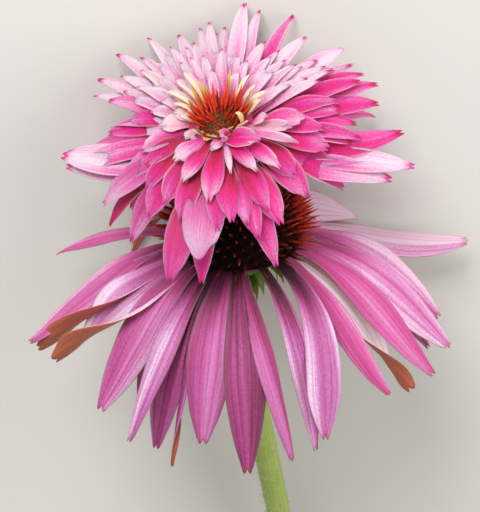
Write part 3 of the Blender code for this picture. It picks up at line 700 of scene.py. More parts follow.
@dataclass(frozen=True, kw_only=True)
class PetalSkin(Finish):
    """Living petal skin: satin, pigment that fades along the blade, fine veins and a pale rim.

    Attributes:
        stops: Colours that the tone runs through: the first, the last, and those between.
        veins: How many veins lie side by side.
        vein: Colour of the veins.
        vein_share: How much of it they take.
        rim: Colour of the outermost edge.
        rim_share: How much of it the edge takes.
        tooth: Colour of the very tip.
        tooth_from: Where it starts, as a share of the way along.
        under: Colour of the underside.
        under_deep: Colour of the underside's streaks.
        tint: Colour that a petal's positive tint mixes in.
        counter_tint: Colour that its negative tint mixes in.
        grain: How much the streaks shift the tone.
        speckle: How much the cells shift it.
    """

    stops: tuple
    veins: float
    vein: str
    vein_share: float
    rim: str
    rim_share: float
    tooth: str
    tooth_from: float = 0.965
    under: str
    under_deep: str
    tint: str = "#E8539A"
    counter_tint: str = "#F6DCC6"
    grain: float = 0.3
    speckle: float = 0.22

    def colour(self, tree: bpy.types.NodeTree) -> tuple[bpy.types.NodeSocket, bpy.types.NodeSocket]:
        """Mix the petal's colour.

        The tone, shifted by three noises, picks a colour from the stops. Streaks are noise on the
        blade's own map, drawn out along it, and the broad ones also sway the veins. A vein is the third
        power of one less the absolute sine of the place across, and the pale rim is the twelfth power
        of the way out from the middle, in broad patches. Tint, veins, rim and teeth are mixed in by
        their shares, and the underside has two colours of its own.

        Args:
            tree: The node tree that the graph goes into.

        Returns:
            The sockets of the colour and of the bump height.
        """
        read = self.readings(tree, "tone", "under", "seed", "tint")
        strands = [
            add_node(tree, "ShaderNodeMath", {0: read[name], 1: times}, operation="MULTIPLY").outputs[0]
            for name, times in (("along", STREAKS_ALONG), ("across", STREAKS_ACROSS), ("seed", SEED_STEP))
        ]
        fibres = add_node(tree, "ShaderNodeCombineXYZ", dict(enumerate(strands))).outputs[0]
        for name, vector, scale, detail, rough in (
            ("grain", fibres, 1.0, 3.0, 0.6), ("broad", fibres, BROAD_SHARE, 1.0, 0.5),
            ("cells", read["where"], CELLS_PER_METRE, 1.0, 0.5),
        ):
            values = {"Vector": vector, "Scale": scale, "Detail": detail, "Roughness": rough}
            read[name] = add_node(tree, "ShaderNodeTexNoise", values).outputs[0]
        values = {0: read["along"], 1: self.tooth_from, 2: 1.0}
        read["toothed"] = add_node(tree, "ShaderNodeMapRange", values).outputs[0]
        for name, operation, *inputs in (
            ("fine", "SUBTRACT", "grain", 0.5),
            ("sway", "SUBTRACT", "broad", 0.5),
            ("dots", "SUBTRACT", "cells", 0.5),
            ("pigment", "MULTIPLY_ADD", "fine", self.grain, "tone"),
            ("pigment", "MULTIPLY_ADD", "sway", self.grain, "pigment"),
            ("pigment", "MULTIPLY_ADD", "dots", self.speckle, "pigment"),
            ("untint", "MULTIPLY", "tint", -1.0),
            ("order", "MULTIPLY", "across", self.veins),
            ("order", "MULTIPLY_ADD", "sway", 0.5, "order"),
            ("order", "MULTIPLY", "order", math.pi),
            ("wave", "SINE", "order"),
            ("crease", "ABSOLUTE", "wave"),
            ("flat", "SUBTRACT", 1.0, "crease"),
            ("line", "POWER", "flat", 3.0),
            ("veined", "MULTIPLY", "line", self.vein_share),
            ("aside", "SUBTRACT", "across", 0.5),
            ("aside", "ABSOLUTE", "aside"),
            ("aside", "MULTIPLY", "aside", 2.0),
            ("edge", "POWER", "aside", 12.0),
            ("patches", "MULTIPLY", "broad", 2.0),
            ("edge", "MULTIPLY", "edge", "patches"),
            ("rimmed", "MULTIPLY", "edge", self.rim_share),
            ("toothed", "MULTIPLY", "toothed", "grain"),
            ("half_grain", "MULTIPLY", "grain", 0.5),
            ("height", "MULTIPLY_ADD", "line", -0.6, "half_grain"),
        ):
            values = {number: read.get(value, value) for number, value in enumerate(inputs)}
            read[name] = add_node(tree, "ShaderNodeMath", values, operation=operation).outputs[0]
        read["face"] = add_node(tree, "ShaderNodeValToRGB", {0: read["pigment"]}, self.stops).outputs[0]
        for name, share, low, high in (
            ("face", "tint", "face", self.tint),
            ("face", "untint", "face", self.counter_tint),
            ("face", "veined", "face", self.vein),
            ("face", "rimmed", "face", self.rim),
            ("face", "toothed", "face", self.tooth),
            ("back", "grain", self.under, self.under_deep),
            ("face", "under", "face", "back"),
        ):
            ends = (read[end] if end in read else linear(end) for end in (low, high))
            values = dict(zip((0, 6, 7), (read[share], *ends)))
            read[name] = add_node(tree, "ShaderNodeMix", values, data_type="RGBA").outputs[2]
        return read["face"], read["height"]


@dataclass(frozen=True, kw_only=True)
class SpikeSkin(Finish):
    """Dry, stiff bristle or spike: its colour runs from its foot to its point, and by its tone.

    Attributes:
        stops: Colours that the tone runs through: the first, the last, and those between.
        point: Colour of the point.
        point_from: Where it starts, as a share of the way along.
        point_share: How much of it a spike of full tone takes.
        foot: Dark colour of the foot: partly its own, partly painted shade deep between its neighbours.
        foot_to: Where that ends.
        foot_share: How much of it the foot takes.
    """

    stops: tuple
    point: str
    point_from: float = 0.55
    point_share: float = 0.8
    foot: str = "#120604"
    foot_to: float = 0.4
    foot_share: float = 0.8

    def colour(self, tree: bpy.types.NodeTree) -> tuple[bpy.types.NodeSocket, bpy.types.NodeSocket]:
        """Mix the spike's colour.

        The tone plus a share of noise picks a colour from the stops. The point's colour comes in
        evenly toward the point, by the tone, and the foot's dark colour, partly painted shade between
        neighbours, fades out evenly from the foot.

        Args:
            tree: The node tree that the graph goes into.

        Returns:
            The sockets of the colour and of the bump height.
        """
        read = self.readings(tree, "tone")
        along, tone = read["along"], read["tone"]
        values = {"Vector": read["where"], "Scale": FLECKS_PER_METRE, "Detail": 2.0}
        grain = add_node(tree, "ShaderNodeTexNoise", values).outputs[0]
        values = {0: grain, 1: 0.3, 2: tone}
        shifted = add_node(tree, "ShaderNodeMath", values, operation="MULTIPLY_ADD").outputs[0]
        base = add_node(tree, "ShaderNodeValToRGB", {0: shifted}, self.stops).outputs[0]
        near_point, near_foot = (
            add_node(tree, "ShaderNodeMapRange", dict(enumerate((along, *ends)))).outputs[0]
            for ends in (
                (self.point_from, 1.0, 0.0, self.point_share), (0.0, self.foot_to, self.foot_share, 0.0),
            )
        )
        values = {0: near_point, 1: tone}
        near_point = add_node(tree, "ShaderNodeMath", values, operation="MULTIPLY").outputs[0]
        # The foot's dark colour is partly painted shade between neighbouring spikes
        for share, code in ((near_point, self.point), (near_foot, self.foot)):
            values = {0: share, 6: base, 7: linear(code)}
            base = add_node(tree, "ShaderNodeMix", values, data_type="RGBA").outputs[2]
        return base, grain


@dataclass(frozen=True, kw_only=True)
class GreenSkin(Finish):
    """Green stem, leaf or bract: pigment in patches, with veins or ribs that run along it.

    Attributes:
        stops: Colours that the tone runs through: the first, the last, and those between.
        ribs: How many ribs or veins lie side by side.
        rib: Their colour.
        rib_share: How much of it they take.
        patches: Patches of pigment in a metre.
    """

    stops: tuple
    ribs: float
    rib: str = "#5C7A26"
    rib_share: float
    patches: float = 180.0

    def colour(self, tree: bpy.types.NodeTree) -> tuple[bpy.types.NodeSocket, bpy.types.NodeSocket]:
        """Mix the green surface's colour.

        The tone plus half of a patchy noise picks a colour from the stops. A rib lies where the
        absolute sine of the place across is near zero, and fades out by a third of its height.

        Args:
            tree: The node tree that the graph goes into.

        Returns:
            The sockets of the colour and of the bump height.
        """
        read = self.readings(tree, "tone")
        values = {"Vector": read["where"], "Scale": self.patches, "Detail": 4.0}
        read["patch"] = add_node(tree, "ShaderNodeTexNoise", values).outputs[0]
        for name, operation, *inputs in (
            ("pigment", "MULTIPLY_ADD", "patch", 0.5, "tone"),
            ("order", "MULTIPLY", "across", self.ribs * math.pi),
            ("wave", "SINE", "order"),
            ("crease", "ABSOLUTE", "wave"),
            ("height", "MULTIPLY_ADD", "crease", 0.5, "patch"),
        ):
            values = {number: read.get(value, value) for number, value in enumerate(inputs)}
            read[name] = add_node(tree, "ShaderNodeMath", values, operation=operation).outputs[0]
        base = add_node(tree, "ShaderNodeValToRGB", {0: read["pigment"]}, self.stops).outputs[0]
        values = {0: read["crease"], 1: 0.0, 2: 0.35, 3: self.rib_share, 4: 0.0}
        ribbed = add_node(tree, "ShaderNodeMapRange", values).outputs[0]
        values = {0: ribbed, 6: base, 7: linear(self.rib)}
        return add_node(tree, "ShaderNodeMix", values, data_type="RGBA").outputs[2], read["height"]


# Living petal skin of the upper bloom: thin, satin and moist, so light comes through it and the pink stays
# bright in the shade. Thirteen veins on a 3 to 8 mm petal are 0.2 to 0.6 mm apart.
UPPER_SKIN = PetalSkin(
    "petal_skin_upper", sheen=0.04, glow=0.5, veins=13.0, vein="#CC5C98", vein_share=0.3,
    stops=(
        (0.0, "#F6D4E2"), (0.98, "#B00638"), (0.2, "#F1B0CE"), (0.42, "#E860A6"), (0.62, "#DC1E86"),
        (0.8, "#D60468"),
    ),
    rim="#FADCEA", rim_share=0.5, tooth="#B8386C", tooth_from=0.98, under="#EDBBD4", under_deep="#DD86B4",
    # The tint, a greyed lilac, is partly the front petals' own colour and partly painted shade on the
    # petals that face the eye
    tint="#B87CA8", grain=0.36, speckle=0.28,
)

# Living petal skin of the lower rays: thicker and older, with a mauve bloom, deep furrows and a brown back,
# partly where it has begun to dry and partly painted glow of light through the ray. Six veins on a 10 mm
# ray are 1.7 mm apart, one in each broad fold.
LOWER_SKIN = PetalSkin(
    "petal_skin_lower", sheen=0.06, glow=0.08, veins=6.0, vein="#8A2C58", vein_share=0.22,
    stops=(
        (0.0, "#F1DAEA"), (1.0, "#360E1C"), (0.12, "#DDB2D4"), (0.24, "#CA84B6"), (0.4, "#B85E9C"),
        (0.6, "#9A3670"), (0.82, "#681C42"),
    ),
    rim="#E8C0D6", rim_share=0.3, tooth="#8A4A26", under="#C4704C", under_deep="#A04636",
    # The counter tint, nearly white, is painted light, for a ray whose face lies in shade
    tint="#E44E9A", counter_tint="#FFE8F4",
)

# Waxy floret skin: cream to yellow, a little glossier than a petal, with three veins 0.3 to 0.9 mm apart
FLORET_SKIN = PetalSkin(
    "petal_skin_floret", roughness=0.5, sheen=0.1, veins=3.0, vein="#D8A060", vein_share=0.25,
    stops=((0.0, "#F8E2D8"), (1.0, "#B8842C"), (0.3, "#F2DCB8"), (0.65, "#DECB64")),
    rim="#FFF2DC", rim_share=0.4, tooth="#C04A50", tooth_from=0.95, under="#F4DCAE", under_deep="#E6B978",
)

# Dry bristle, like stiff straw: nearly black at its foot, partly its own colour and partly painted shade
# between the others, and bright orange-red where the tone is high, which is painted light at the cone's
# sides
BRISTLE_SKIN = SpikeSkin(
    "dry_bristle", ior=1.3, point="#F25A3C", point_share=1.0,
    stops=((0.0, "#0B0403"), (1.0, "#D43C26"), (0.35, "#280805"), (0.7, "#7C1A0C")),
)

# Dry cone between the bristles: matt and almost black, partly its own dark colour and partly painted shade
# deep among the bristles
CONE_SKIN = SpikeSkin(
    "dry_cone", roughness=0.9, ior=1.2, stops=((0.0, "#080403"), (1.0, "#3A140C")), point="#3A140C",
)

# Young disc spike: firm and a little glossy, olive inside, then red, with a lighter orange point and a dark
# foot that is partly painted shade
SPIKE_SKIN = SpikeSkin(
    "dry_disc_spike", roughness=0.5,
    stops=((0.0, "#4A4A16"), (1.0, "#F0582A"), (0.22, "#6E220C"), (0.5, "#C81C0E"), (0.75, "#E03A18")),
    point="#F07038", point_share=0.5, foot="#300A04", foot_to=0.5,
)

# Fresh stem: waxy and pale green, with a rib every 2.3 mm round it and patches of pigment 5.6 mm across
STEM_SKIN = GreenSkin(
    "fresh_stem", roughness=0.5, ribs=9.0, rib="#6E8A34", rib_share=0.45,
    stops=((0.0, "#7E9A3E"), (1.0, "#C6D27A"), (0.5, "#A3B858")),
)

# Stiff plant hair: pale and nearly clear, so that many of them give the stem a whitish bloom
HAIR_SKIN = GreenSkin(
    "plant_hair", roughness=0.5, ribs=0.0, rib_share=0.0, stops=((0.0, "#D8DCB4"), (1.0, "#F4F2DC")),
)

# Rough leaf: dull dark green, with paler side veins 2 to 3 mm apart and patches of pigment 3.8 mm across
LEAF_SKIN = GreenSkin(
    "rough_leaf", roughness=0.6, ribs=6.0, rib="#7F9C4C", rib_share=0.55, patches=260.0,
    stops=((0.0, "#2C4C1C"), (1.0, "#557A30"), (0.5, "#3D6424")),
)

# Hairy bract: soft, dull mid green, with a paler vein along its middle and along each edge, 1.4 mm apart
BRACT_SKIN = GreenSkin(
    "hairy_bract", roughness=0.6, ribs=2.0, rib="#86A052", rib_share=0.3,
    stops=((0.0, "#3E6222"), (1.0, "#86A04C"), (0.5, "#5C8030")),
)


@dataclass(frozen=True)
class Petal:
    """One petal or ray: where its tip shows, how high it lies, its form and its pigment.

    Attributes:
        tip: Column and row of its tip in the picture.
        rise: Height of its tip over its bloom's plane, in millimetres.
        width: Full width, in millimetres.
        turn: Degrees that it turns about its length by its tip.
        cup: Angle that its edges turn down through, in radians; below zero they turn up.
        droop: How much its end bends back along the axis.
        blush: Tone of its root and tone of its tip.
        sweep: Degrees that its root stands aside from its tip's azimuth.
        form: How it ends.
        facing: Share of its turn toward the eye.
        teeth: Tone that is added at its teeth.
        tint: Share of the skin's tint; below zero, of its counter tint.
        lift: Degrees that are added to its launch angle.
        late: Power of the way along by which its turn sets in.
        belly: Where a lower ray is widest.
        root: Azimuth, radius and height of its root, where they aren't worked out.
    """

    tip: tuple[float, float]
    rise: float
    width: float
    turn: float = 0.0
    cup: float = -0.3
    droop: float = 0.3
    blush: tuple[float, float] = (0.85, 0.22)
    sweep: float = 0.0
    form: TipForm = TipForm.TWO_TEETH
    facing: float = 0.25
    teeth: float = 0.1
    tint: float = 0.0
    lift: float = 0.0
    late: float = 2.2
    belly: float = 0.58
    root: tuple[float, float, float] | None = None


def tier(rows: tuple[tuple[float, ...], ...], **shared: object) -> tuple[Petal, ...]:
    """Make petals that share their form and pigment.

    Args:
        rows: Column and row of the tip, its height, and the petal's width and turn, for each petal.
        shared: Values of the other fields of Petal.

    Returns:
        The petals, in the order of the rows.
    """
    return tuple(Petal((x, y), rise, width, turn, **shared) for x, y, rise, width, turn in rows)


def petal_handles(
    axes: Axes, root_radius: float, root_height: float, launch: float, tip: Array, droop: float,
    sweep: float,
) -> tuple[Array, float]:
    """Lay a petal's centre line: it leaves the axis at the launch angle and arches over to its tip.

    Args:
        axes: The bloom that carries the petal.
        root_radius: Radius of its root.
        root_height: Height of its root.
        launch: Angle over the bloom's plane at the root, in degrees.
        tip: Where it ends.
        droop: How much its end bends back along the axis.
        sweep: Degrees that the root stands aside from the tip's azimuth.

    Returns:
        The four handles of the curve, and the azimuth of the root.
    """
    azimuth = float(axes.measure(tip)[0]) + sweep
    root = axes.point(azimuth, root_radius, root_height)
    length = float(np.linalg.norm(tip - root))
    angle = math.radians(launch)
    start = axes.outward(azimuth) * math.cos(angle) + axes.axis * math.sin(angle)
    shoulder = root + start * SHOULDER_REACH * length
    finish = unit(unit(tip - shoulder) - axes.axis * droop)
    return np.stack([root, shoulder, tip - finish * FINISH_REACH * length, tip]), azimuth


@dataclass(frozen=True)
class LowerRing:
    """The ring of drooping rays under the cone, with the seat that carries them.

    Attributes:
        rows: Grid lines along a ray.
        columns: Grid lines across it.
        thickness: Thickness of a ray.
        launch: Degrees over the ring's plane at which a ray leaves it.
        claw: Width of a ray's root, as a share of its widest.
        end: How much its end narrows.
        furrow: Depth of its furrows.
        ripple: Height of the waves along its edges.
        furrow_shade_tone: How much deeper the tone is in the furrows, which is painted shade.
        light_and_pigment_bands: How much it changes in broad bands, partly own pigment and partly painted
            light on the folds.
        clearance: How far the rays that show are kept above the height at which they would rest.
        rays: The rays that the picture shows.
        behind: Azimuths of those that it hides.
        hidden: The form, height and pigment of these.
        hidden_reach: Radius at which their tips lie.
        seed_step: Step from one ray's seed to the next one's.
    """

    rows: int = 30
    columns: int = 25
    thickness: float = 0.4
    launch: float = -6.0
    claw: float = 0.34
    end: float = 0.74
    furrow: float = 0.3
    ripple: float = 0.3
    furrow_shade_tone: float = 0.16
    light_and_pigment_bands: float = 0.16
    clearance: float = 1.2
    rays: tuple[Petal, ...] = (
        Petal((29, 342), -22, 9.0, 10, 0.6, -0.14, (0.7, 0.2), -13.0, facing=0.4, tint=0.3, lift=-4.6),
        Petal((38, 349), -25.0, 16.5, 95, -1.2, -0.28, (0.6, 0.0), 5.0, facing=0.2, lift=-10.0),
        Petal((54, 361), -22.7, 18.0, 100, -1.1, -0.23, (0.6, 0.0), 12.5, facing=0.2, lift=-3.0),
        Petal((99, 410), -26.6, 11.0, 0, 0.7, -0.2, (0.85, 0.3), 1.0, facing=0.6, tint=0.15, lift=7.0),
        Petal((140, 420), -34, 8.0, 0, 0.5, 0.35, (0.85, 0.42)),
        Petal((129, 442), -30, 7.0, 15, 1.0, 0.35, (0.85, 0.25), 3.0),
        Petal((156, 449), -36, 9.0, 0, 0.5, 0.35, (0.9, 0.42)),
        Petal((172, 467), -39, 3.5, 160, 1.4, 0.35, (0.9, 0.6)),
        Petal((202, 444), -30, 12.0, 0, 0.6, 0.35, (0.9, 0.42), tint=0.12),
        # This ray's deep tone is painted shade: it lies in shade
        Petal((248, 474), -34, 10.5, 0, 0.5, 0.35, (0.9, 0.66)),
        Petal((293, 461), -31, 6.0, -30, 1.2, 0.35, (0.9, 0.42), -9.0, tint=0.15),
        Petal((316, 451), -35, 6.0, 0, 0.5, 0.35, (0.9, 0.3), 2.0),
        Petal(
            (325, 440), -28.2, 9.2, 0, 0.6, 0.42, (0.9, 0.2), facing=0.7, lift=-1.0, belly=0.75,
            root=(50.0, 11.5, -0.8),
        ),
        Petal(
            (390, 395), -22, 6.4, -15, 0.8, -0.3, (0.9, 0.34), facing=0.9, tint=0.45, lift=-24.0,
            root=(57.5, 13.8, 1.2),
        ),
        # This ray's full counter tint, near white, is painted light: its face lies in the next ray's shade
        Petal(
            (411, 391), -33.4, 15.0, -96, -0.8, -0.3, (0.2, -0.05), facing=0.2, tint=-1.0, lift=-15.0,
            late=3.0, root=(69.0, 11.5, -1.0),
        ),
        Petal(
            (434, 375), -23.4, 7.8, 0, 0.5, -0.3, (0.8, 0.36), facing=0.8, tint=0.45, lift=-2.9,
            root=(76.0, 13.0, 0.4),
        ),
        Petal(
            (449, 348), -19, 10.0, 0, 0.5, -0.1, (0.7, 0.1), facing=0.8, tint=0.2, root=(88.0, 12.5, 0.2),
        ),
        Petal((429, 348), -28, 7.0, 0, 0.5, 0.35, (0.85, 0.5), facing=0.6, root=(80.0, 11.5, -0.8)),
        Petal(
            (440, 317), -20.9, 8.5, 0, 0.5, 0.1, (0.65, 0.15), facing=0.8, tint=0.2, lift=5.5,
            root=(104.0, 12.0, 0.0),
        ),
        Petal((468, 240), -12.2, 12.5, 0, 0.6, -0.3, (0.4, -0.06), 24.0, tint=0.22, lift=-13.6),
        Petal((358, 218), -8, 11.0, 0, 0.5, 0.5, (0.1, -0.2), 32.0, facing=0.5, tint=0.15, lift=1.0),
        Petal((57, 254), -14, 6.0, 30, 1.0, 0.35, (0.5, 0.25), facing=0.3, tint=0.5),
    )
    behind: tuple[int, ...] = (138, 151, 164, 178, 192, 204, 216)
    hidden: Petal = Petal((0, 0), -25.0, 9.0, 0, 0.2, 0.35, (0.85, 0.45))
    hidden_reach: float = 49.0
    seed_step: float = 0.37

    def blade(self, ray: Petal, tip: Array, number: int) -> Blade:
        """Shape one ray.

        Args:
            ray: What it is like.
            tip: Where it ends.
            number: Its number in the ring, which shifts its pattern and picks its teeth.

        Returns:
            Its blade.
        """
        aim = float(RING.measure(tip)[0])
        turned, radius, height = ray.root or (aim + ray.sweep, RAY_ROOT_RADIUS, 0.0)
        launch = self.launch + ray.lift
        handles, azimuth = petal_handles(RING, radius, height, launch, tip, ray.droop, turned - aim)
        side = RING.around(azimuth)
        form = TipForm.THREE_TEETH if number % 3 == 1 else TipForm.TWO_TEETH
        return Blade(
            handles, side, ray.width, (self.claw, ray.belly, self.end), ray.cup, form, self.ripple,
            0.7 * number, ray.turn, self.furrow, facing=ray.facing, late=ray.late,
        )

    def tone(self, ray: Petal, blade: Blade) -> Array:
        """Work out a ray's tone: its pigment, with painted light and shade.

        It runs by a soft step from one tone to the other over the first half. It is deeper at the root,
        partly own pigment and partly painted shade under the upper bloom, deeper in the furrows, which is
        painted shade, and it shifts in broad bands, a sine across the ray, partly own pigment and partly
        painted light on the folds.

        Args:
            ray: What the ray is like.
            blade: Its blade.

        Returns:
            The tone at each grid point.
        """
        u = stations(self.rows)
        v = crosswise(self.columns)
        low, high = ray.blush
        # The extra tone near the root is partly own pigment and partly painted shade under the upper bloom
        run = high + (low - high) * (1.0 - smooth(u, 0.08, 0.5)) + 0.25 * (1.0 - smooth(u, 0.02, 0.2))
        # Broad bands: partly own pigment, partly painted light on the folds
        broad = self.light_and_pigment_bands * np.sin(2.6 * v + 1.7 * blade.phase + 0.8 * np.sin(3.0 * u + blade.phase))
        # The furrows' extra tone is painted shade
        return run + broad + self.furrow_shade_tone * blade.relief(u, v)

    def build(self) -> bpy.types.Object:
        """Build the rays that show, those behind, and the seat.

        Returns:
            The finished ring of rays.
        """
        gathered = Gathered()
        for number, ray in enumerate(self.rays):
            tip = SIGHT.on_plane(ray.tip, RING, ray.rise, REST + self.clearance)
            blade = self.blade(ray, tip, number)
            grid = pressed(blade.grid(self.rows, self.columns), REST + self.clearance)
            seed = number * self.seed_step
            gathered.add_shell(grid, self.thickness, self.tone(ray, blade), seed, ray.tint)
        for number, azimuth in enumerate(self.behind):
            rise = self.hidden.rise - 3.0 * (number % 2)
            tip = RING.point(azimuth, self.hidden_reach - 3.0 * (number % 3), rise)
            blade = self.blade(self.hidden, tip, number)
            grid = pressed(blade.grid(self.rows, self.columns), REST if number % 2 else REST + 1.0)
            seed = 20.0 + number * self.seed_step
            gathered.add_shell(grid, self.thickness, self.tone(self.hidden, blade), seed)
        profile = np.array([
            (RAY_SEAT_RADIUS - 1.0, -SEAT_HALF), (RAY_SEAT_RADIUS, 0.4 - SEAT_HALF),
            (RAY_SEAT_RADIUS, SEAT_HALF - 0.4), (RAY_SEAT_RADIUS - 1.0, SEAT_HALF),
        ])
        add_turned(gathered, RING, profile, 48, tone=1.0)
        return gathered.piece("lower_ray_petals", "lower_rays", LOWER_SKIN)


def add_turned(gathered: Gathered, axes: Axes, profile: Array, sides: int, tone: float = 0.0) -> None:
    """Add a solid of revolution: a profile of radius and height, traced upward, turned about the axis.

    Args:
        gathered: Where the solid goes.
        axes: Its axis.
        profile: Radius and height of each ring.
        sides: Points round each ring.
        tone: Its tone.
    """
    azimuth = np.linspace(0.0, 360.0, sides, endpoint=False)[None, :]
    rings = axes.point(azimuth, profile[:, :1] + 0.0 * azimuth, profile[:, 1:] + 0.0 * azimuth)
    foot = axes.point(0.0, 0.0, profile[0, 1])[None]
    apex = axes.point(0.0, 0.0, profile[-1, 1])[None]
    gathered.add_tubes(rings[None], foot, apex, tone)


def dome_profile(radius: float, height: float, base: float, steps: int) -> Array:
    """Return radius and height of a half ellipse, from its rim up to just under its top."""
    angle = np.linspace(0.0, 0.97, steps) * math.pi / 2.0
    return np.stack([radius * np.cos(angle), base + height * np.sin(angle)], axis=1)


def on_dome(
    axes: Axes, radius: float, height: float, base: float, share: Array, azimuth: Array
) -> tuple[Array, Array]:
    """Find points on a half-ellipsoid dome and the way out of it there.

    Args:
        axes: The dome's axis.
        radius: Its radius.
        height: Its height.
        base: Height of its rim.
        share: Share of the way to its top, for each point.
        azimuth: Azimuth of each point.

    Returns:
        The points and the unit normals.
    """
    level = np.sqrt(1.0 - share ** 2)
    points = axes.point(azimuth, radius * level, base + height * share)
    upward = axes.axis * (share / height)[:, None]
    return points, unit(axes.outward(azimuth) * (level / radius)[:, None] + upward)


def spikes(
    foot: Array, way: Array, length: Array, radius: Array, bend: Array, sides: int = 5, rings: int = 4
) -> tuple[Array, Array, Array]:
    """Work out awl-shaped spikes: round rings that shrink by a power of the way to the point.

    Args:
        foot: Where each starts.
        way: The way that each points.
        length: Length of each.
        radius: Radius of each at its foot.
        bend: Shift of each point, which grows with the square of the way along.
        sides: Points round a ring.
        rings: Rings along a spike.

    Returns:
        Rings, feet and points, as add_tubes takes them.
    """
    t = np.linspace(0.0, 0.86, rings)[None, :, None]
    line = foot[:, None] + way[:, None] * t * length[:, None, None] + bend[:, None] * t ** 2
    across = unit(np.cross(way, np.array([0.31, 0.23, 0.92])))
    second = np.cross(way, across)
    angle = np.linspace(0.0, 2.0 * math.pi, sides, endpoint=False)[None, None, :, None]
    size = (radius[:, None, None] * (1.0 - t) ** 0.7)[..., None]
    round_it = across[:, None, None] * np.cos(angle) + second[:, None, None] * np.sin(angle)
    return line[:, :, None] + round_it * size, foot, foot + way * length[:, None] + bend


@dataclass(frozen=True)
class Cone:
    """The dark cone and its stiff bristles, set in a golden-angle spiral.

    Attributes:
        count: How many bristles there are.
        bristle_radius: Radius of one at its foot.
        sunk: How deep its foot is set.
    """

    count: int = 340
    bristle_radius: float = 0.58
    sunk: float = 0.6

    def build(self) -> None:
        """Build the core and the bristles, which lean out by chance; painted light makes them lighter at
        the sides and darker in front.
        """
        base = SEAT_HALF + GAP
        core = Gathered()
        add_turned(core, RING, dome_profile(CONE_RADIUS, CONE_HEIGHT, base, 24), 64)
        core.piece("cone_core", "cone", CONE_SKIN)
        chance = np.random.default_rng(7)
        number = np.arange(self.count)
        share = 0.03 + 0.80 * (number + 0.5) / self.count
        azimuth = GOLDEN_DEGREES * number
        foot, normal = on_dome(RING, CONE_RADIUS, CONE_HEIGHT, base, share, azimuth)
        jitter = chance.normal(0.0, 0.07, (self.count, 3))
        upward = 0.15 - 0.35 * (1.0 - smooth(share, 0.03, 0.18))
        way = unit(normal + RING.axis * upward[:, None] + jitter)
        length = BRISTLE_LENGTH * (1.0 - 0.5 * share) * chance.uniform(0.8, 1.0, self.count)
        bend = RING.axis * chance.uniform(0.1, 0.9, (self.count, 1))
        thick = np.full(self.count, self.bristle_radius)
        rings, feet, points = spikes(foot - normal * self.sunk, way, length + self.sunk, thick, bend)
        # Painted light and shade: the bristles' tone rises toward the sides and is lowest in front, in the
        # upper bloom's shade, plus a random share
        around = (azimuth + 180.0) % 360.0 - 180.0
        painted_side_light = smooth(np.abs(around), 25.0, 85.0)
        tone = 0.06 + 0.42 * painted_side_light + chance.uniform(0.0, 0.4, self.count)
        bristles = Gathered()
        bristles.add_tubes(rings, feet, points, tone)
        bristles.piece("cone_bristles", "cone", BRISTLE_SKIN)


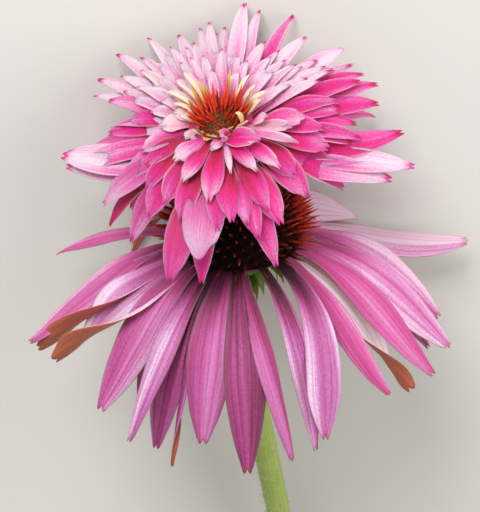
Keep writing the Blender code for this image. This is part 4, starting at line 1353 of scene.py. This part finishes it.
@dataclass(frozen=True)
class UpperBloom:
    """The upper bloom's layers of petals, with the boss and neck that carry them.

    Attributes:
        rows: Grid lines along a petal.
        columns: Grid lines across it.
        thickness: Thickness of a petal.
        furrow: Depth of its furrows.
        tooth: Length of a tooth.
        ripple: Height of the waves along its edges.
        petals: The petals that the picture shows.
        behind: Azimuths of those that it hides.
        hidden: The form, height and pigment of these.
        hidden_reach: Radius at which their tips lie.
        seed_step: Step from one petal's seed to the next one's.
    """

    rows: int = 22
    columns: int = 13
    thickness: float = 0.35
    furrow: float = 0.14
    tooth: float = 1.1
    ripple: float = 0.18
    petals: tuple[Petal, ...] = ()
    behind: tuple[int, ...] = (-152, -126, 126, 154, 181)
    hidden: Petal = Petal((0, 0), -19.0, 7.5, 0, 0.2, 0.35, (0.8, 0.4))
    hidden_reach: float = 46.0
    seed_step: float = 0.29

    def clear_of_cone(self, points: Array) -> Array:
        """Push points away from the ring's axis to just outside the bristles.

        Args:
            points: Points of shape (..., 3).

        Returns:
            Points at no less than a radius that runs straight between its values at five heights.
        """
        azimuth, radius, height = RING.measure(points)
        edge = CONE_RADIUS + BRISTLE_LENGTH + 0.8
        keep = np.interp(height, (2.0, 12.0, 18.0, 21.5, 23.0), (edge, edge, 18.0, 12.5, 0.0))
        return points + RING.outward(azimuth) * np.clip(keep - radius, 0.0, None)[..., None]

    def grid(self, petal: Petal, tip: Array, number: int) -> Array:
        """Shape one petal: the shorter it is, the higher it roots and the steeper it starts.

        Args:
            petal: What it is like.
            tip: Where it ends.
            number: Its number in the bloom, which varies its cup, turn and pattern by sines.

        Returns:
            Its middle surface, clear of the cone and at rest on the surface below.
        """
        radius, height = (float(value) for value in BLOOM.measure(tip)[1:])
        root_height = float(np.interp(radius, (15.0, 22.0, 30.0, 45.0), (9.2, 8.0, 5.5, 2.5)))
        root_radius, sweep = PETAL_ROOT_RADIUS, petal.sweep
        if petal.root is not None:
            azimuth, root_radius, root_height = petal.root
            sweep = azimuth - float(BLOOM.measure(tip)[0])
        stand = math.degrees(math.atan2(height - root_height, max(radius - root_radius, 1.0)))
        lead = float(np.interp(radius, (15.0, 30.0, 45.0), (22.0, 18.0, 5.0)))
        launch = min(max(lead + 0.85 * stand + petal.lift, -20.0), 50.0)
        handles, azimuth = petal_handles(BLOOM, root_radius, root_height, launch, tip, petal.droop, sweep)
        side = BLOOM.around(azimuth)
        cup = petal.cup + 0.25 * math.sin(1.7 * number)
        turn = petal.turn + 9.0 * math.sin(2.4 * number)
        blade = Blade(
            handles, side, petal.width, petal.form.outline, cup, petal.form, self.ripple, 1.1 * number,
            turn, self.furrow, tooth=self.tooth, facing=petal.facing,
        )
        return pressed(self.clear_of_cone(blade.grid(self.rows, self.columns)), REST)

    def tone(self, petal: Petal, number: int) -> Array:
        """Work out a petal's pigment.

        It runs by a soft step from the root's tone to the tip's, with more at the teeth, and more at the
        root, partly own pigment and partly painted glow where the petals overlap; a little deeper or paler
        by number, and in bands that are a sine across the petal.

        Args:
            petal: What the petal is like.
            number: Its number in the bloom.

        Returns:
            The tone at each grid point.
        """
        u = stations(self.rows)
        v = crosswise(self.columns)
        low, high = petal.blush
        # The extra tone near the root is partly own pigment and partly painted light: the deep glow between
        # the overlapping petals
        run = low + (high - low) * smooth(u, 0.3, 0.92) + 0.2 * (1.0 - smooth(u, 0.05, 0.4))
        run = run + 0.05 * math.sin(3.7 * number) + 0.08 * np.sin(3.0 * v + number)
        return run + petal.teeth * smooth(u, 0.925, 0.99)

    def build(self) -> bpy.types.Object:
        """Build the petals that show, those beneath, and what carries them.

        Returns:
            The finished bloom.
        """
        gathered = Gathered()
        for number, petal in enumerate(self.petals):
            tip = SIGHT.on_plane(petal.tip, BLOOM, petal.rise, REST)
            grid = self.grid(petal, tip, number)
            seed = number * self.seed_step
            gathered.add_shell(grid, self.thickness, self.tone(petal, number), seed, petal.tint)
        for number, azimuth in enumerate(self.behind):
            tip = BLOOM.point(azimuth, self.hidden_reach, self.hidden.rise)
            grid = self.grid(self.hidden, tip, number)
            seed = 40.0 + number * self.seed_step
            gathered.add_shell(grid, self.thickness, self.tone(self.hidden, number), seed)
        below = GAP + CONE_HEIGHT + SEAT_HALF + GAP - BLOOM_HEIGHT
        neck = Axes(BLOOM.centre, RING.axis, RING.front)
        add_turned(gathered, neck, np.array([(NECK_RADIUS, below), (NECK_RADIUS, 3.0)]), 24, tone=0.9)
        boss = np.array([
            (NECK_RADIUS, 0.0), (BOSS_RADIUS, 2.0), (BOSS_RADIUS, 6.0), (BOSS_TOP_RADIUS, BOSS_HEIGHT),
        ])
        add_turned(gathered, BLOOM, boss, 40, tone=0.95)
        return gathered.piece("upper_petals", "upper_rays", UPPER_SKIN)


# Tones of the root and the tip, by where in the bloom a petal grows: partly the petals' own colour and
# partly painted light, paler at the back, which the light from above reaches, and deeper in front
PALE = (0.34, 0.03)
SOFT = (0.6, 0.25)
HOT = (1.0, 0.46)
RIGHT = (0.8, 0.5)

UPPER_PETALS = tier((
    (116, 54, 4, 4.6, 0), (126, 63, 3, 4.0, 10), (140, 57, 6, 3.3, 0), (147, 37, 4, 3.8, 0),
    (155, 62, 7, 3.1, -10), (161, 49, 6, 3.1, 0), (169, 46, 7, 3.1, 15), (178, 34, 5, 4.4, 0),
    (180, 62, 9, 2.9, 0), (193, 42, 8, 3.1, -10), (200, 27, 5, 3.6, 0), (209, 21, 4, 3.9, 0),
    (190, 57, 10, 2.8, 10), (203, 55, 10, 2.8, 0), (214, 40, 7, 3.3, 0), (211, 69, 12, 2.5, 0),
    (225, 26, 6, 3.7, 0), (222, 48, 10, 3.0, -10), (232, 45, 8, 3.1, 10), (248, 60, 11, 3.1, 0),
    (238, 70, 13, 2.5, 0), (255, 30, 6, 3.6, 0), (260, 9, 5, 4.2, 0), (265, 41, 8, 4.0, 0),
    (267, 68, 11, 2.8, 0), (274, 72, 11, 2.8, 10), (280, 50, 7, 3.3, -10), (286, 60, 8, 3.1, 0),
    (297, 64, 9, 3.1, 0), (303, 67, 8, 3.2, 10), (120, 76, 5, 4.4, 0), (122, 92, 5, 4.0, 0),
    (136, 87, 8, 3.9, 10), (150, 82, 8, 3.6, 0), (160, 75, 9, 3.3, -10), (175, 78, 11, 2.8, 0),
    (97, 80, 3, 4.8, 0), (93, 96, 1, 4.8, 0), (131, 101, 6, 4.6, 0), (149, 112, 8, 4.0, 0),
    (160, 101, 10, 3.3, 0), (318, 60, 5, 3.8, 0), (326, 66, 6, 3.6, 0), (332, 71, 6, 3.4, 0),
    (291, 85, 10, 3.2, 0), (321, 81, 8, 3.6, 0), (308, 78, 8, 3.2, 0), (145, 72, 7, 3.2, 0),
    (186, 47, 7, 3.0, 0), (217, 33, 6, 3.4, 0), (240, 48, 8, 3.2, 0), (272, 56, 8, 3.2, 0),
), blush=PALE, form=TipForm.THREE_TEETH, teeth=0.9) + tier((
    (245, 2, 4, 4.6, 0), (242, 30, 7, 4.0, 0), (307, 37, 5, 4.4, 0), (334, 69, 4, 4.4, 0),
    (269, 115, 14, 2.8, 0), (141, 133, 4, 5.0, 0),
), blush=PALE, teeth=0.7) + tier((
    (294, 14, 4, 3.6, 55), (353, 65, 1, 3.4, 50), (108, 101, 4, 4.6, 0),
    (111, 128, 2, 3.2, 40), (78, 172, -4, 6.5, 0), (119, 185, -2, 6.0, 0), (140, 152, 5, 5.0, 0),
), blush=SOFT, teeth=0.5) + tier((
    (140, 70, 8, 3.8, 0), (167, 90, 12, 3.0, 0), (183, 70, 12, 2.8, 0), (172, 112, 11, 3.6, 0),
), blush=(0.28, 0.02), form=TipForm.THREE_TEETH, teeth=0.9, tint=-0.45) + tier((
    (364, 74, 0, 5.2, 0), (361, 82, 2, 5.8, 0), (378, 84, -1, 6.0, 0), (379, 104, -2, 6.8, 0),
    (340, 102, 4, 5.0, 0), (342, 111, 3, 5.4, 0), (357, 124, 0, 6.2, 0), (362, 139, -1, 4.0, 30),
    (353, 143, -2, 6.5, 0), (326, 130, 4, 5.6, 0),
), blush=RIGHT, teeth=0.5) + tier((
    (329, 149, 1, 8.0, 0), (344, 189, -8, 8.5, 0), (307, 197, -3, 8.0, 0), (316, 168, -2, 7.0, 0),
    (108, 134, 1, 5.5, -15), (145, 191, 1, 5.5, 0), (146, 166, 4, 5.5, 0), (125, 122, 4, 5.0, 0),
    (296, 178, 1, 6.5, 0), (165, 205, 1, 6.0, 0), (180, 222, 0, 6.0, 0),
), blush=HOT) + tier((
    (282, 225, -1, 7.0, 0), (277, 267, -10, 5.6, 0), (258, 239, -2, 6.0, 0), (248, 225, 1, 5.6, 0),
    (232, 223, 2, 6.0, 0), (147, 219, -3, 7.2, 0), (218, 232, 0, 5.6, 0), (268, 212, 2, 5.6, 0),
    (139, 221, -8, 6.5, 0), (131, 210, -7, 6.0, 0),
), blush=HOT, cup=0.2, droop=0.45) + (
    Petal((344, 49), 2, 5.6, blush=(0.5, 0.05), form=TipForm.ROUNDED),
    Petal((158, 126), 9, 5.2, blush=(0.25, 0.02), tint=-0.3, form=TipForm.POINTED),
    Petal((109, 226), -12, 4.5, 10, 0.2, 0.5, (0.95, 0.75), teeth=0.3),
    Petal((131, 243), -13, 6.0, 0, 0.2, 0.5, (0.9, 0.35), facing=0.6, teeth=0.5, tint=0.2),
    Petal((403, 131), -5, 7.8, 0, -0.3, -0.1, (0.7, 0.45), root=(76.0, 6.8, 2.5), teeth=0.5),
    Petal((415, 167), -8, 7.0, 0, -0.3, 0.1, (0.55, 0.1), root=(78.0, 6.8, 1.0), teeth=0.5),
    Petal((392, 180), -9, 7.5, 0, -0.3, 0.2, (0.5, 0.1), root=(66.0, 6.8, 1.0), teeth=0.5),
    Petal((199, 260), -4, 10.0, 0, 0.3, 0.5, (0.8, 0.12), form=TipForm.ROUNDED, tint=0.45),
    Petal((201, 284), -12, 6.0, 0, 0.2, 0.5, (0.9, 0.6)),
    Petal((170, 282), -11, 8.0, 0, 0.3, 0.5, (0.95, 0.46), tint=0.15),
    Petal((103, 205), -5, 7.0, 0, 0.2, 0.4, (0.85, 0.25), tint=0.3),
    Petal((62, 155), -2, 9.5, 0, -0.3, 0.1, (0.4, 0.02), root=(-78.0, 6.8, 1.0), teeth=0.6),
    Petal((66, 167), -4, 6.0, 0, -0.3, 0.1, (0.4, 0.02), root=(-70.0, 6.8, 1.0), teeth=0.6),
    Petal((306, 117), 8, 5.2, blush=(0.6, 0.3), root=(74.0, 6.4, 10.2), form=TipForm.ROUNDED),
    Petal((293, 127), 9, 3.4, 20, blush=(0.5, 0.1), root=(66.0, 6.4, 10.2), tint=-0.35),
    Petal((209, 203), 5, 5.5, 0, 0.2, 0.4, (0.95, 0.3), root=(-6.0, 5.8, 10.0)),
    Petal((181, 182), 7, 4.6, 0, 0.4, 0.4, (0.9, 0.1), root=(-24.0, 5.8, 10.3)),
    Petal((173, 161), 9, 4.6, 0, 0.4, 0.3, (0.5, 0.1), root=(-36.0, 5.8, 10.4)),
    Petal((231, 174), 9, 1.8, 0, 0.5, 0.2, (0.3, 0.0), root=(8.0, 5.8, 10.4)),
    Petal((257, 172), 9, 4.0, 30, 0.8, 0.3, (0.9, 0.05), root=(16.0, 5.8, 10.4)),
    Petal((281, 168), 8, 4.0, 20, 0.4, 0.3, (0.9, 0.2), root=(34.0, 5.8, 10.4)),
    Petal((299, 143), 9, 2.4, 40, 0.6, 0.3, (0.3, 0.0), root=(52.0, 5.8, 10.4)),
    Petal(
        (261, 140), 13, 5.4, 0, -1.0, 0.4, (0.75, 0.4), form=TipForm.ROUNDED, facing=0.8,
        root=(10.0, 5.8, 10.4),
    ),
    Petal(
        (221, 137), 15, 3.2, 0, -1.0, 0.6, (0.75, 0.2), form=TipForm.ROUNDED, facing=0.8,
        root=(10.0, 6.2, 10.4),
    ),
    Petal((210, 151), 11, 2.4, 0, -0.8, 0.5, (0.4, 0.1), facing=0.8, root=(2.0, 6.2, 10.4)),
    Petal((196, 150), 9, 3.4, 0, 0.2, 0.3, (0.5, 0.1), root=(-50.0, 5.8, 10.4), tint=-0.3),
    Petal((186, 140), 10, 3.2, 0, 0.2, 0.3, (0.4, 0.1), root=(-70.0, 5.8, 10.4), tint=-0.4),
)


@dataclass(frozen=True)
class Disc:
    """The upper bloom's disc: red spikes that fan out, longest at the back, with olive ones between.

    Attributes:
        count: How many spikes there are.
        spike_radius: Radius of one at its foot.
        sunk: How deep its foot is set.
        olive_share: Share of the spikes that are short and olive.
    """

    count: int = 130
    spike_radius: float = 0.52
    sunk: float = 0.4
    olive_share: float = 0.22

    def build(self) -> None:
        """Build the dome and its spikes, set in a golden-angle spiral from the middle to the rim."""
        gathered = Gathered()
        add_turned(gathered, BLOOM, dome_profile(DISC_RADIUS, DISC_HEIGHT, DISC_BASE, 12), 40, tone=-0.2)
        chance = np.random.default_rng(11)
        number = np.arange(self.count)
        azimuth = GOLDEN_DEGREES * number
        away = 0.97 * np.sqrt((number + 0.5) / self.count)
        share = np.sqrt(1.0 - away ** 2)
        foot = on_dome(BLOOM, DISC_RADIUS, DISC_HEIGHT, DISC_BASE, share, azimuth)[0]
        behind = (0.5 - 0.5 * np.cos(np.radians(azimuth))) ** 0.7
        olive = chance.uniform(0.0, 1.0, self.count) < self.olive_share
        length = (1.2 + away * (0.5 + 5.6 * behind)) * chance.uniform(0.65, 1.08, self.count)
        length = np.where(olive, 0.6 * length, length)
        way = BLOOM.outward(azimuth) * (0.1 + 0.85 * away)[:, None] + BLOOM.axis
        way = unit(way + chance.normal(0.0, 0.13, (self.count, 3)))
        thick = np.full(self.count, self.spike_radius)
        bend = BLOOM.axis * 0.3 + 0.0 * way
        rings, feet, points = spikes(foot - BLOOM.axis * self.sunk, way, length, thick, bend)
        tone = np.where(olive, 0.0, 0.2 + away * (0.1 + 0.35 * behind))
        gathered.add_tubes(rings, feet, points, tone + chance.uniform(-0.15, 0.2, self.count))
        gathered.piece("disc_spikes", "disc", SPIKE_SKIN)


@dataclass(frozen=True)
class Collar:
    """The collar of small cream and yellow florets round the disc.

    Attributes:
        rows: Grid lines along a floret.
        columns: Grid lines across it.
        thickness: Thickness of a floret.
        launch: Degrees over the bloom's plane at which it stands up.
        outline: The claw's share of its width, where its belly lies, and how much its end narrows.
        cup: Angle that its edges turn through, in radians; they turn up, as it is below zero.
        seed_step: Step from one floret's seed to the next one's.
        florets: The florets that the picture shows; the tones run from root to tip.
    """

    rows: int = 14
    columns: int = 9
    thickness: float = 0.3
    launch: float = 50.0
    outline: tuple[float, float, float] = (0.55, 0.55, 0.66)
    cup: float = -0.7
    seed_step: float = 0.41
    florets: tuple[Petal, ...] = tier((
        (165, 92, 13, 1.3, 0), (183, 73, 14, 1.2, 0), (179, 116, 13, 1.5, 0), (187, 109, 13, 1.2, 0),
        (250, 74, 14, 1.2, 0), (267, 91, 14, 1.7, 0), (262, 99, 15, 2.0, 0), (193, 131, 13, 2.2, 0),
        (172, 104, 12, 1.3, 0), (257, 84, 14, 1.1, 0), (176, 83, 13, 1.1, 0),
    ), blush=(0.45, 0.0), form=TipForm.THREE_TEETH) + tier((
        (188, 99, 15, 1.2, 0), (192, 88, 16, 1.1, 0), (199, 80, 16, 1.0, 0), (230, 69, 17, 1.1, 0),
        (251, 89, 17, 1.2, 0), (206, 85, 15, 0.9, 0),
    ), blush=(0.95, 0.6), form=TipForm.ROUNDED) + (
        Petal((205, 141), 12, 2.0, 0, -0.6, 0.3, (0.9, 0.7)),
        Petal((235, 113), 16, 1.8, 0, -0.6, 0.9, (0.8, 0.6), root=(60.0, 5.6, 11.0)),
        Petal((248, 121), 16, 2.8, 0, -0.6, 0.2, (0.4, 0.05), root=(38.0, 5.8, 11.0)),
        Petal((220, 131), 14, 1.2, 0, -0.6, 0.3, (0.8, 0.6), root=(0.0, 4.8, 11.2)),
        Petal((232, 128), 15, 1.4, 0, -0.6, 0.3, (0.6, 0.3), root=(25.0, 4.8, 11.2)),
    )

    def build(self) -> bpy.types.Object:
        """Build the florets and the ring that carries them.

        Returns:
            The finished collar.
        """
        gathered = Gathered()
        u = np.linspace(0.0, 1.0, self.rows)[:, None]
        for number, floret in enumerate(self.florets):
            tip = SIGHT.on_plane(floret.tip, BLOOM, floret.rise, 0.0)
            aim = float(BLOOM.measure(tip)[0])
            turned, radius, height = floret.root or (aim, COLLAR_RADIUS, DISC_BASE)
            handles, azimuth = petal_handles(
                BLOOM, radius, height, self.launch, tip, floret.droop, turned - aim,
            )
            blade = Blade(
                handles, BLOOM.around(azimuth), floret.width, self.outline, self.cup, floret.form, 0.05,
                number, tooth=0.5,
            )
            low, high = floret.blush
            grid = blade.grid(self.rows, self.columns)
            gathered.add_shell(grid, self.thickness, low + (high - low) * u, number * self.seed_step)
        profile = np.array([
            (0.5, DISC_BASE), (COLLAR_RADIUS - 0.5, DISC_BASE), (COLLAR_RADIUS - 0.7, DISC_BASE + 0.4),
        ])
        add_turned(gathered, BLOOM, profile, 40, tone=0.9)
        return gathered.piece("disc_collar", "disc_florets", FLORET_SKIN)


@dataclass(frozen=True)
class Involucre:
    """The green cup under the rays, with rows of narrow bracts bent back toward the stem.

    Attributes:
        rows: Rows of bracts, one inside the other.
        in_row: Bracts in a row.
        grid: Grid lines along a bract and across it.
        width: Width of a bract.
        thickness: Thickness of a bract.
        inward: Step from a row to the next one in.
        outline: The claw's share of its width, where its belly lies, and how much its end narrows.
        cup: Angle that its edges turn down through, in radians.
    """

    rows: int = 3
    in_row: int = 12
    grid: tuple[int, int] = (12, 7)
    width: float = 2.8
    thickness: float = 0.4
    inward: float = 0.75
    outline: tuple[float, float, float] = (0.85, 0.4, 0.9)
    cup: float = 0.6

    def build(self) -> bpy.types.Object:
        """Build the bracts, each on a curve from the cup out over a shoulder and down, and the cup.

        Returns:
            The finished cup.
        """
        gathered = Gathered()
        top = -SEAT_HALF - GAP
        for row in range(self.rows):
            inner = row * self.inward
            for number in range(self.in_row):
                azimuth = 360.0 / self.in_row * (number + 0.5 * row)
                root = RING.point(azimuth, 8.2 - 1.6 * inner, top - 1.9 - 2.0 * inner)
                shoulder = RING.point(azimuth, 12.6 - 1.5 * inner, top - 2.2 - 2.0 * inner)
                tip = RING.point(azimuth, 13.8 - 2.2 * inner, top - 7.0 - 2.6 * inner)
                handles = np.stack([root, root + (shoulder - root) * 0.6, shoulder, tip])
                blade = Blade(
                    handles, RING.around(azimuth), self.width, self.outline, self.cup, TipForm.POINTED, 0.1,
                    number + row, tooth=0.3,
                )
                tone = 0.3 + 0.1 * (number % 3)
                gathered.add_shell(blade.grid(*self.grid), self.thickness, tone, number + row * 5.3)
        profile = np.array([
            (STEM_RADIUS + 0.3, top - CUP_HEIGHT), (STEM_RADIUS + 1.4, top - 5.6),
            (CUP_RADIUS - 1.0, top - 2.6), (CUP_RADIUS, top - 1.0), (CUP_RADIUS, top),
        ])
        add_turned(gathered, RING, profile, 40, tone=0.25)
        return gathered.piece("green_cup", "involucre", BRACT_SKIN)


def stem_handles() -> Array:
    """Return the four handles of the stem's curve, from under the cup to the cut end."""
    start = RING.centre - RING.axis * (SEAT_HALF + 2.0 * GAP + CUP_HEIGHT)
    return np.stack([start] + [RING.centre + np.array(handle) for handle in STEM_HANDLES])


@dataclass(frozen=True)
class Stem:
    """The ribbed stem, and the short stiff hairs on it.

    Attributes:
        rings: Rings of points along the stem.
        sides: Points round a ring.
        ribs: How many ribs run along it.
        rib_height: Half of a rib's height.
        hairs: How many hairs are tried; those that would reach the surface are left off.
        hair_radius: Radius of a hair at its foot.
        sunk: How deep its foot is set.
    """

    rings: int = 120
    sides: int = 54
    ribs: int = 9
    rib_height: float = 0.12
    hairs: int = 1500
    hair_radius: float = 0.08
    sunk: float = 0.35

    def frame_at(self, t: Array) -> tuple[Array, Array, Array]:
        """Find the stem's middle and the directions square to it.

        Args:
            t: Parameters of the stem's curve, from 0 to 1.

        Returns:
            The points, and two directions at each: level, and square to that and to the stem.
        """
        line, tangent = bezier(stem_handles(), t)
        side = unit(np.cross(tangent, UP))
        return line, side, np.cross(tangent, side)

    def build(self) -> None:
        """Build the stem, whose radius is a cosine round it, and its hairs."""
        line, side, above = self.frame_at(np.linspace(0.0, 1.0, self.rings))
        angle = np.linspace(0.0, 2.0 * math.pi, self.sides, endpoint=False)
        radius = STEM_RADIUS - self.rib_height * (1.0 - np.cos(self.ribs * angle))
        cosine, sine = (radius * np.cos(angle))[None, :, None], (radius * np.sin(angle))[None, :, None]
        rings = line[:, None] + side[:, None] * cosine + above[:, None] * sine
        # No point of the stem lies below the surface
        rings[..., 2] = np.maximum(rings[..., 2], 0.05)
        gathered = Gathered()
        gathered.add_tubes(rings[None], line[:1], line[-1:], 0.35)
        gathered.piece("stem_bar", "stem", STEM_SKIN)
        chance = np.random.default_rng(3)
        t = chance.uniform(0.01, 0.99, self.hairs)
        turn = chance.uniform(0.0, 2.0 * math.pi, self.hairs)
        line, side, above = self.frame_at(t)
        out = side * np.cos(turn)[:, None] + above * np.sin(turn)[:, None]
        foot = line + out * (STEM_RADIUS - self.sunk)
        way = unit(out + chance.normal(0.0, 0.3, (self.hairs, 3)))
        length = chance.uniform(1.0, 1.9, self.hairs)
        keep = (foot + way * length[:, None])[:, 2] > 0.1
        thick = np.full(int(keep.sum()), self.hair_radius)
        straight = 0.0 * way[keep]
        rings, feet, points = spikes(foot[keep], way[keep], length[keep], thick, straight, sides=3, rings=2)
        hairs = Gathered()
        hairs.add_tubes(rings, feet, points, 0.5)
        hairs.piece("stem_hairs", "stem", HAIR_SKIN)


@dataclass(frozen=True)
class Leaf:
    """A lance-shaped stem leaf: toothed, with sunken veins, and a tip that rests on the surface.

    Attributes:
        node: The solid that it replaces.
        place: Where it grows on the stem's curve, from 0 to 1.
        side: 1 for the one side of the stem and -1 for the other.
        length: Length, in millimetres.
        width: Width, in millimetres.
        spread: Degrees between it and the stem.
        arch: How high its two inner handles are lifted, in millimetres.
        rows: Grid lines along it.
        columns: Grid lines across it.
        thickness: Thickness, in millimetres.
        teeth: How many teeth each edge has.
    """

    node: str
    place: float
    side: float
    length: float
    width: float
    spread: float
    arch: float
    rows: int = 56
    columns: int = 25
    thickness: float = 0.45
    teeth: float = 11.0

    def build(self) -> bpy.types.Object:
        """Build the leaf.

        The half width is a sine of a power of the way along, with a saw-tooth at the edge. The face
        bows up toward its edges by a share of the way out, with a long wave and fine side veins as
        sines, and three bell-shaped veins sink into it.

        Returns:
            The finished leaf.
        """
        line, tangent = bezier(stem_handles(), self.place)
        forward = -tangent
        outward = unit(np.array([forward[1], -forward[0], 0.0])) * self.side
        angle = math.radians(self.spread)
        heading = unit(forward * math.cos(angle) + outward * math.sin(angle))
        root = line + outward * (STEM_RADIUS + GAP + REST) + UP * 0.8
        tip = root + heading * self.length
        tip[2] = -3.0
        lift = UP * self.arch
        shoulder = root + outward * 0.2 * self.length + lift
        handles = np.stack([root, shoulder, tip - heading * 0.35 * self.length + lift, tip])
        u = np.linspace(0.0, 1.0, self.rows)[:, None]
        v = crosswise(self.columns)
        centre, slope = bezier(handles, u)
        swell = np.sin(math.pi * np.minimum(1.0, u * 0.93 + 0.02) ** 0.72) ** 0.9
        half = np.maximum(0.5 * self.width * swell, 0.9 - 0.5 * u)
        saw = 0.12 * ((u * self.teeth) % 1.0) - 0.05
        edge = half * v * (1.0 + saw * smooth(np.abs(v), 0.75, 1.0) * (u > 0.2) * (u < 0.96))
        across = unit(np.cross(slope, UP))
        face = np.cross(across, slope)
        bow = 0.22 * half * np.abs(v) + 0.35 * np.sin(5.0 * u + 2.0 * v)
        aside = np.abs(v) - 0.45 * (1.0 - 0.6 * u)
        veins = np.exp(-((v / 0.05) ** 2)) + 0.5 * np.exp(-((aside / 0.06) ** 2))
        bow = (bow - 0.25 * veins + 0.12 * np.sin(26.0 * u - 7.0 * np.abs(v))) * np.minimum(1.0, 5.0 * u)
        grid = centre + across * edge[..., None] + face * bow[..., None]
        gathered = Gathered()
        tone = 0.3 - 0.15 * np.exp(-((v / 0.1) ** 2)) + 0.0 * u
        gathered.add_shell(pressed(grid, REST), self.thickness, tone, self.place * 10.0)
        return gathered.piece(self.node + "_blade", self.node, LEAF_SKIN)


LEAVES = (
    Leaf("leaf_upper", 0.66, 1.0, 36.0, 11.0, 50.0, 8.0),
    Leaf("leaf_middle", 0.77, -1.0, 50.0, 16.0, 50.0, 11.0),
    Leaf("leaf_lower", 0.89, 1.0, 54.0, 19.0, 44.0, 11.0),
)


@dataclass(frozen=True)
class Studio:
    """The pale floor, the soft lights and the camera at the picture's viewing angle.

    Attributes:
        floor: Colour of the floor.
        reach: Half of the floor's side, in metres.
        sky: Strength of the even light from all round.
        lens: Focal length, in millimetres.
        sensor: Width of the sensor, in millimetres.
        lamp_distance: From the bloom to a light, in metres.
    """

    floor: str = "#DDDAD4"
    reach: float = 4.0
    sky: float = 0.38
    lens: float = 120.0
    sensor: float = 36.0
    lamp_distance: float = 0.8

    def stand(self, name: str, kind: bpy.types.ID, sides: list[Array], place: Array) -> bpy.types.Object:
        """Stand a light or a camera in the scene.

        Args:
            name: The object's name.
            kind: The light or camera.
            sides: Its three directions: across, up and back.
            place: Its place, in metres.

        Returns:
            The new object.
        """
        made = bpy.data.objects.new(name, kind)
        bpy.context.scene.collection.objects.link(made)
        matrix = np.eye(4)
        matrix[:3, :3] = np.stack(sides, axis=1)
        matrix[:3, 3] = place
        made.matrix_world = Matrix(matrix.tolist())
        return made

    def area(self, name: str, away: tuple[float, float, float], size: float, power: float) -> None:
        """Add a soft light that looks at the bloom.

        Args:
            name: The light's name.
            away: Direction from the bloom to the light.
            size: Side of the light, in metres.
            power: Power, in watts.
        """
        lamp = bpy.data.lights.new(name, "AREA")
        lamp.size, lamp.energy = size, power
        back = unit(np.array(away))
        across = unit(np.cross(UP, back))
        place = np.array(RING_CENTRE) * MM + back * self.lamp_distance
        self.stand(name, lamp, [across, np.cross(back, across), back], place)

    def build(self) -> None:
        """Build the floor, the lights and the camera."""
        scene = bpy.context.scene
        scene.view_settings.view_transform = "Standard"
        mesh = bpy.data.meshes.new("pale_floor")
        corners = [(x * self.reach, y * self.reach, 0.0) for x, y in ((-1, -1), (1, -1), (1, 1), (-1, 1))]
        mesh.from_pydata(corners, [], [(0, 1, 2, 3)])
        ground = bpy.data.objects.new("pale_floor", mesh)
        scene.collection.objects.link(ground)
        # Matt paper: even and without a shine, so that the plant's soft shadow is all that shows on it
        paper = bpy.data.materials.new("matt_paper_floor")
        paper.use_nodes = True
        shader = paper.node_tree.nodes["Principled BSDF"]
        shader.inputs["Base Color"].default_value = linear(self.floor)
        shader.inputs["Roughness"].default_value = 0.9
        mesh.materials.append(paper)
        world = bpy.data.worlds.new("soft_sky")
        world.use_nodes = True
        background = world.node_tree.nodes["Background"].inputs
        background[0].default_value, background[1].default_value = linear("#FFFFFF"), self.sky
        scene.world = world
        self.area("key_light", (-0.25, 0.85, 0.6), 0.4, 5.6)
        self.area("side_light", (0.9, 0.3, 0.6), 0.6, 2.8)
        self.area("front_fill", (-0.3, -0.9, 0.9), 0.8, 0.8)
        camera = bpy.data.cameras.new("picture_camera")
        camera.lens, camera.sensor_width, camera.clip_start = self.lens, self.sensor, 0.01
        sides = [RING.right, SIGHT.upward, SIGHT.toward]
        scene.camera = self.stand("picture_camera", camera, sides, SIGHT.eye * MM)


def main() -> None:
    """Build every piece in order, then note the sizes."""
    logging.basicConfig(level=logging.INFO)
    Studio().build()
    Stem().build()
    for leaf in LEAVES:
        leaf.build()
    Involucre().build()
    LowerRing().build()
    Cone().build()
    UpperBloom(petals=UPPER_PETALS).build()
    Disc().build()
    Collar().build()
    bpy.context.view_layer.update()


if __name__ == "__main__":
    main()
